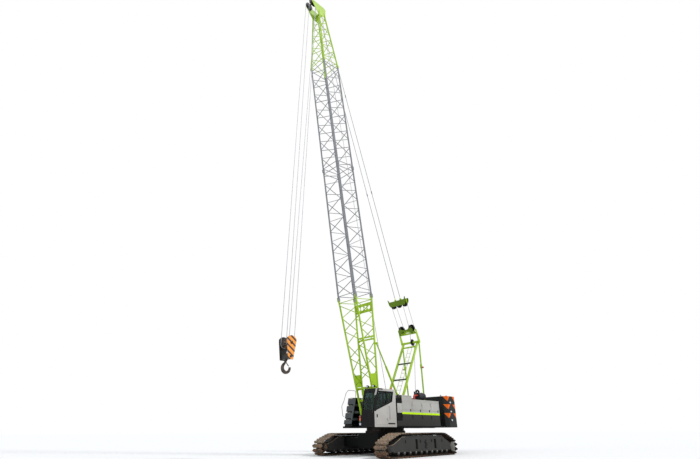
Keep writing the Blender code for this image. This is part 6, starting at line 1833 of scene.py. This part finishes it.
@dataclass
class HookGear:
    """The hook block's pin caps and rope guards, and the hook's latch."""

    bench: Bench
    half: float = 0.335
    y: float = FALLS_Y
    z: float = BLOCK_Z

    def build(self) -> None:
        """Build the hook block's and the hook's small pieces."""
        caps = []
        for side in (-1.0, 1.0):
            for drop, radius in ((0.0, 0.075), (-0.66, 0.06)):
                centre = Vector((side * self.half, self.y, self.z + drop))
                out = Vector((side, 0.0, 0.0))
                caps.append(self.bench.rod(centre - out * 0.002, centre + out * 0.022, radius, 24,
                                           0.005))
                caps.append(self.bench.rod(centre, centre + out * 0.036, radius * 0.45, 6, 0.003))
        self.bench.settle("block_pin_caps", caps, Body.BLOCK, "iron", Slot.HOOK)
        guards = []
        for y in (-0.235, 0.235):
            guards.append(self.bench.rod((-self.half + 0.02, self.y + y, self.z - 0.12),
                                         (self.half - 0.02, self.y + y, self.z - 0.12), 0.018, 12,
                                         0.003))
        self.bench.settle("block_rope_guards", guards, Body.BLOCK, "iron", Slot.HOOK)
        middle = self.z - 0.66 - 0.11 - 0.40
        latch = self.bench.plate([(-0.030, self.y - 0.02, middle + 0.27),
                                  (0.030, self.y - 0.02, middle + 0.27),
                                  (0.030, self.y + 0.155, middle + 0.085),
                                  (-0.030, self.y + 0.155, middle + 0.085)],
                                 (0.0, 0.008, 0.010), 0.003)
        self.bench.settle("hook_latch", [latch], Body.HOOK, "iron", Slot.HOOK)


def seen_by_camera(tree: bpy.types.NodeTree) -> Signal:
    """Return 1 for rays from the camera, also by a mirror or through glass."""
    path = tree.nodes.new("ShaderNodeLightPath")
    seen = Signal(tree, path.outputs["Is Camera Ray"])
    for kind in ("Is Glossy Ray", "Is Transmission Ray"):
        seen = seen.most(Signal(tree, path.outputs[kind]))
    return seen


class Studio:
    """The pale floor, the soft light and the camera."""

    def __init__(self, ground: float = 0.0) -> None:
        """Keep the floor's level."""
        self.ground = ground

    def floor(self) -> None:
        """Make the plain pale floor."""
        recipe = Recipe("pale_floor", Roughness=0.85, Specular_IOR_Level=0.0)
        cloud = recipe.noise(0.35, 3.0)
        colour = recipe.tint(cloud, (0.80, 0.80, 0.80), (0.84, 0.84, 0.84))
        colour = recipe.tint(seen_by_camera(recipe.tree), colour, (1.0, 1.0, 1.0))
        material = recipe.close(colour, cloud * 0.1 + 0.8, cloud, 0.02, 0.01)
        bpy.ops.mesh.primitive_grid_add(x_subdivisions=8, y_subdivisions=8, size=900.0,
                                        location=(0.0, 0.0, self.ground - 0.001))
        floor = bpy.context.object
        floor.name = "floor"
        bpy.ops.object.transform_apply(location=True, rotation=True, scale=True)
        floor.data.materials.append(material)

    def world(self) -> None:
        """Give the world a soft white light and a white background."""
        world = bpy.data.worlds.new("studio")
        bpy.context.scene.world = world
        world.use_nodes = True
        tree = world.node_tree
        tree.nodes.clear()
        output = tree.nodes.new("ShaderNodeOutputWorld")
        soft = tree.nodes.new("ShaderNodeBackground")
        soft.inputs[0].default_value = (0.93, 0.96, 1.0, 1.0)
        soft.inputs[1].default_value = 0.62
        white = tree.nodes.new("ShaderNodeBackground")
        white.inputs[0].default_value = (1.0, 1.0, 1.0, 1.0)
        white.inputs[1].default_value = 1.0
        mix = tree.nodes.new("ShaderNodeMixShader")
        tree.links.new(seen_by_camera(tree).socket, mix.inputs[0])
        tree.links.new(soft.outputs[0], mix.inputs[1])
        tree.links.new(white.outputs[0], mix.inputs[2])
        tree.links.new(mix.outputs[0], output.inputs[0])

    def lamps(self) -> None:
        """Add the soft key light from the camera's right and a weaker fill."""
        rows = (("key", 1.55, 9.0, (math.radians(48), 0.0, math.radians(110))),
                ("fill", 0.45, 30.0, (math.radians(62), 0.0, math.radians(-20))))
        for name, strength, spread, turn in rows:
            lamp = bpy.data.lights.new(name, "SUN")
            lamp.energy = strength
            lamp.angle = math.radians(spread)
            thing = bpy.data.objects.new(name, lamp)
            thing.rotation_euler = turn
            bpy.context.collection.objects.link(thing)

    def camera(self) -> None:
        """Set the camera at the photograph's place, low and looking up."""
        azimuth, elevation, roll = (math.radians(angle) for angle in CAMERA_ANGLES)
        forward = Vector((-math.sin(azimuth) * math.cos(elevation),
                          math.cos(azimuth) * math.cos(elevation), math.sin(elevation)))
        right = Vector((math.cos(azimuth), math.sin(azimuth), 0.0))
        up = right.cross(forward)
        side = right * math.cos(roll) + up * math.sin(roll)
        rise = up * math.cos(roll) - right * math.sin(roll)
        data = bpy.data.cameras.new("view")
        data.sensor_width = SENSOR_WIDTH
        data.lens = FOCAL_PIXELS * SENSOR_WIDTH / PHOTO_WIDTH
        data.clip_end = 2000.0
        eye = bpy.data.objects.new("view", data)
        columns = Matrix((side, rise, -forward)).transposed().to_4x4()
        eye.matrix_world = Matrix.Translation(CAMERA_PLACE) @ columns
        bpy.context.collection.objects.link(eye)
        bpy.context.scene.camera = eye

    def build(self) -> None:
        """Set up the studio."""
        self.floor()
        self.world()
        self.lamps()
        self.camera()
        bpy.context.scene.view_settings.view_transform = "Standard"


class Paintwork:
    """The finishes of new pieces and of every CAD node."""

    def __init__(self) -> None:
        """Make the finishes."""
        seam = band_zone(2.200, 2.208, (0.12, 0.12, 0.12))
        livery = (roof_zone, band_zone(0.0, 2.0, DARK_PANEL), band_zone(2.0, 2.1, BRIGHT_LIME),
                  seam, intake_zone)
        paints: dict[str, Any] = {
            "lime": PaintFinish("lime_paint", LIME),
            "drive": PaintFinish("drive_cover_paint", (0.15, 0.148, 0.14), 0.55, dust=0.3),
            # Painted shade: a darker lime for the spreaders' cheek plates, which lie in shade from
            # below.
            "painted_shade_lime": PaintFinish("cheek_lime_in_painted_shade", (0.13, 0.24, 0.004), gloss=0.2),
            "boom_grey": PaintFinish("grey_boom_paint", (0.27, 0.28, 0.30), dust=0.1),
            "house": PaintFinish("housing_livery", LIGHT_GREY, dust=0.04, coat=0.0, gloss=0.08,
                                 zones=livery),
            "panel": PaintFinish("light_grey_paint", LIGHT_GREY),
            "cab": PaintFinish("cab_livery", (0.55, 0.53, 0.495), dust=0.04, coat=0.0,
                               gloss=0.08, zones=(cab_zone, inside_zone)),
            "dark": PaintFinish("dark_grey_paint", (0.030, 0.031, 0.033), 0.5, dust=0.05,
                                coat=0.0, gloss=0.2),
            "step_grey": PaintFinish("step_box_paint", (0.062, 0.072, 0.080), 0.5, dust=0.10,
                                     coat=0.0, gloss=0.3),
            "weight": self.weight("counterweight_paint"),
            "black": PaintFinish("black_paint", (0.008, 0.008, 0.009), 0.4, dust=0.03,
                                 coat=0.0, gloss=0.15),
            "crawler": PaintFinish("crawler_frame_paint", (0.046, 0.045, 0.043), 0.6,
                                   dust=0.10, coat=0.0, gloss=0.1),
            "frame": PaintFinish("revolving_frame_paint", (0.006, 0.007, 0.0065), 0.6,
                                 dust=0.02, coat=0.0, gloss=0.08, zones=(skirt_zone,)),
            "cap": PaintFinish("worn_cap_paint", (0.26, 0.25, 0.23), 0.5, dust=0.3),
            "cream": PaintFinish("cream_paint", (0.50, 0.49, 0.40), 0.5, dust=0.2),
            "chain": IronFinish("crawler_chain", (0.014, 0.012, 0.010), (0.05, 0.035, 0.025),
                                0.7),
            # the gantry's lime paint, with painted shade on its two lower cross bars
            "gantry": PaintFinish("gantry_paint", LIME, zones=(gantry_zone,)),
            "pendant": PaintFinish("pendant_paint", (0.30, 0.31, 0.33), dust=0.05,
                                   zones=(pendant_zone, SpreaderZone(UPPER_SPREADER, 14.6, 0.03,
                                                                     -0.34, 0.06))),
            "bail": PaintFinish("bail_paint", LIME, zones=(SpreaderZone(GANTRY_HEAD, BAIL_LEAN, 0.04,
                                                                        0.71, 1.2),)),
            "rail": PaintFinish("rail_paint", (0.42, 0.44, 0.46), 0.4, 0.3),
            "red": PaintFinish("red_pipe_paint", (0.55, 0.045, 0.04), 0.35),
            "white": PaintFinish("white_paint", (0.78, 0.79, 0.80), 0.4, dust=0.08),
            "hook_block": PaintFinish("hook_block_paint", (0.016, 0.015, 0.014), 0.5,
                                      zones=(hook_zone,)),
            "track": TrackFinish("crawler_steel"),
            "iron": IronFinish("forged_iron"),
            "rope": RopeFinish("wire_rope"),
            "glass": GlassFinish("tinted_glass"),
            "amber": LensFinish("amber_lens", (0.72, 0.12, 0.005), 0.1),
            # red_lens glows faintly: a lamp's light on the red signal lens, a painted glow on the gantry
            # legs' reflectors
            "red_lens": LensFinish("red_lens", (0.42, 0.012, 0.006), 0.06),
            "green_lens": LensFinish("green_lens", (0.01, 0.07, 0.04)),
            "clear_lens": LensFinish("clear_lens", (0.52, 0.54, 0.66), 0.25),
            "cloth": ClothFinish("seat_cloth"),
        }
        levels = (("counterweight_lower", 1.66, 2.16), ("counterweight_middle", 2.16, 2.66),
                  ("counterweight_upper", 2.66, 3.13))
        for name, low, high in levels:
            paints[name] = self.weight(f"{name}_paint", WarningWedges(low, high))
        self.finishes: dict[str, bpy.types.Material] = {name: finish.make()
                                                        for name, finish in paints.items()}

    @staticmethod
    def weight(name: str, *zones: Zone) -> PaintFinish:
        """Return the counterweights' black paint with zones on it."""
        return PaintFinish(name, WEIGHT_BLACK, 0.55, dust=0.04, coat=0.0, gloss=0.2, zones=zones)

    def choose(self, node: str) -> str:
        """Return the name of the finish that a CAD node gets."""
        exact = {
            "car_body": "frame", "slew_ring": "chain", "revolving_frame": "frame",
            "counterweight_tray": "weight", "cab_shell": "cab", "cab_door": "cab",
            "beacon": "amber", "seat": "cloth", "console": "black", "step_box": "step_grey",
            "handrail": "rail", "engine_block": "dark", "muffler": "dark",
            "boom_insert_lower": "boom_grey", "boom_insert_upper": "boom_grey",
            "head_sheaves": "black", "block_sheaves": "iron", "hoist_ropes": "rope",
            "hook_block": "hook_block", "hook": "iron", "gantry_front_frame": "gantry",
            "pendants": "pendant", "lower_spreader": "bail",
        }
        if node in exact:
            return exact[node]
        if node in self.finishes:
            return node
        rules = (("glass", "glass"), ("windshield", "glass"),
                 ("housing", "house"), ("_door_", "house"), ("track", "track"),
                 ("idler", "track"), ("sprocket", "track"), ("side_frame", "crawler"),
                 ("drum", "iron"))
        for part, finish in rules:
            if part in node:
                return finish
        return "lime"

    def dress(self) -> None:
        """Give every CAD node its finish."""
        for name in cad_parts:
            thing = bpy.data.objects[name]
            material = self.finishes[self.choose(name)]
            if not thing.material_slots:
                thing.data.materials.append(material)
            for slot in thing.material_slots:
                slot.material = material
            LOG.info("%s dressed in %s", name, material.name)


def main() -> None:
    """Dress the crane, add its pieces and set up the studio."""
    logging.basicConfig(level=logging.INFO, format="%(name)s: %(message)s")
    Bench.free()
    paintwork = Paintwork()
    paintwork.dress()
    bench = Bench(paintwork.finishes)
    for assembly in (Undercarriage(bench), Crawler(bench), BoomFoot(bench), Locker(bench),
                     Housing(bench), EngineDeck(bench), Cab(bench), Counterweight(bench),
                     Gantry(bench), Rigging(bench), HookGear(bench)):
        LOG.info("building %s", type(assembly).__name__)
        assembly.build()
    Studio().build()


if __name__ == "__main__":
    main()
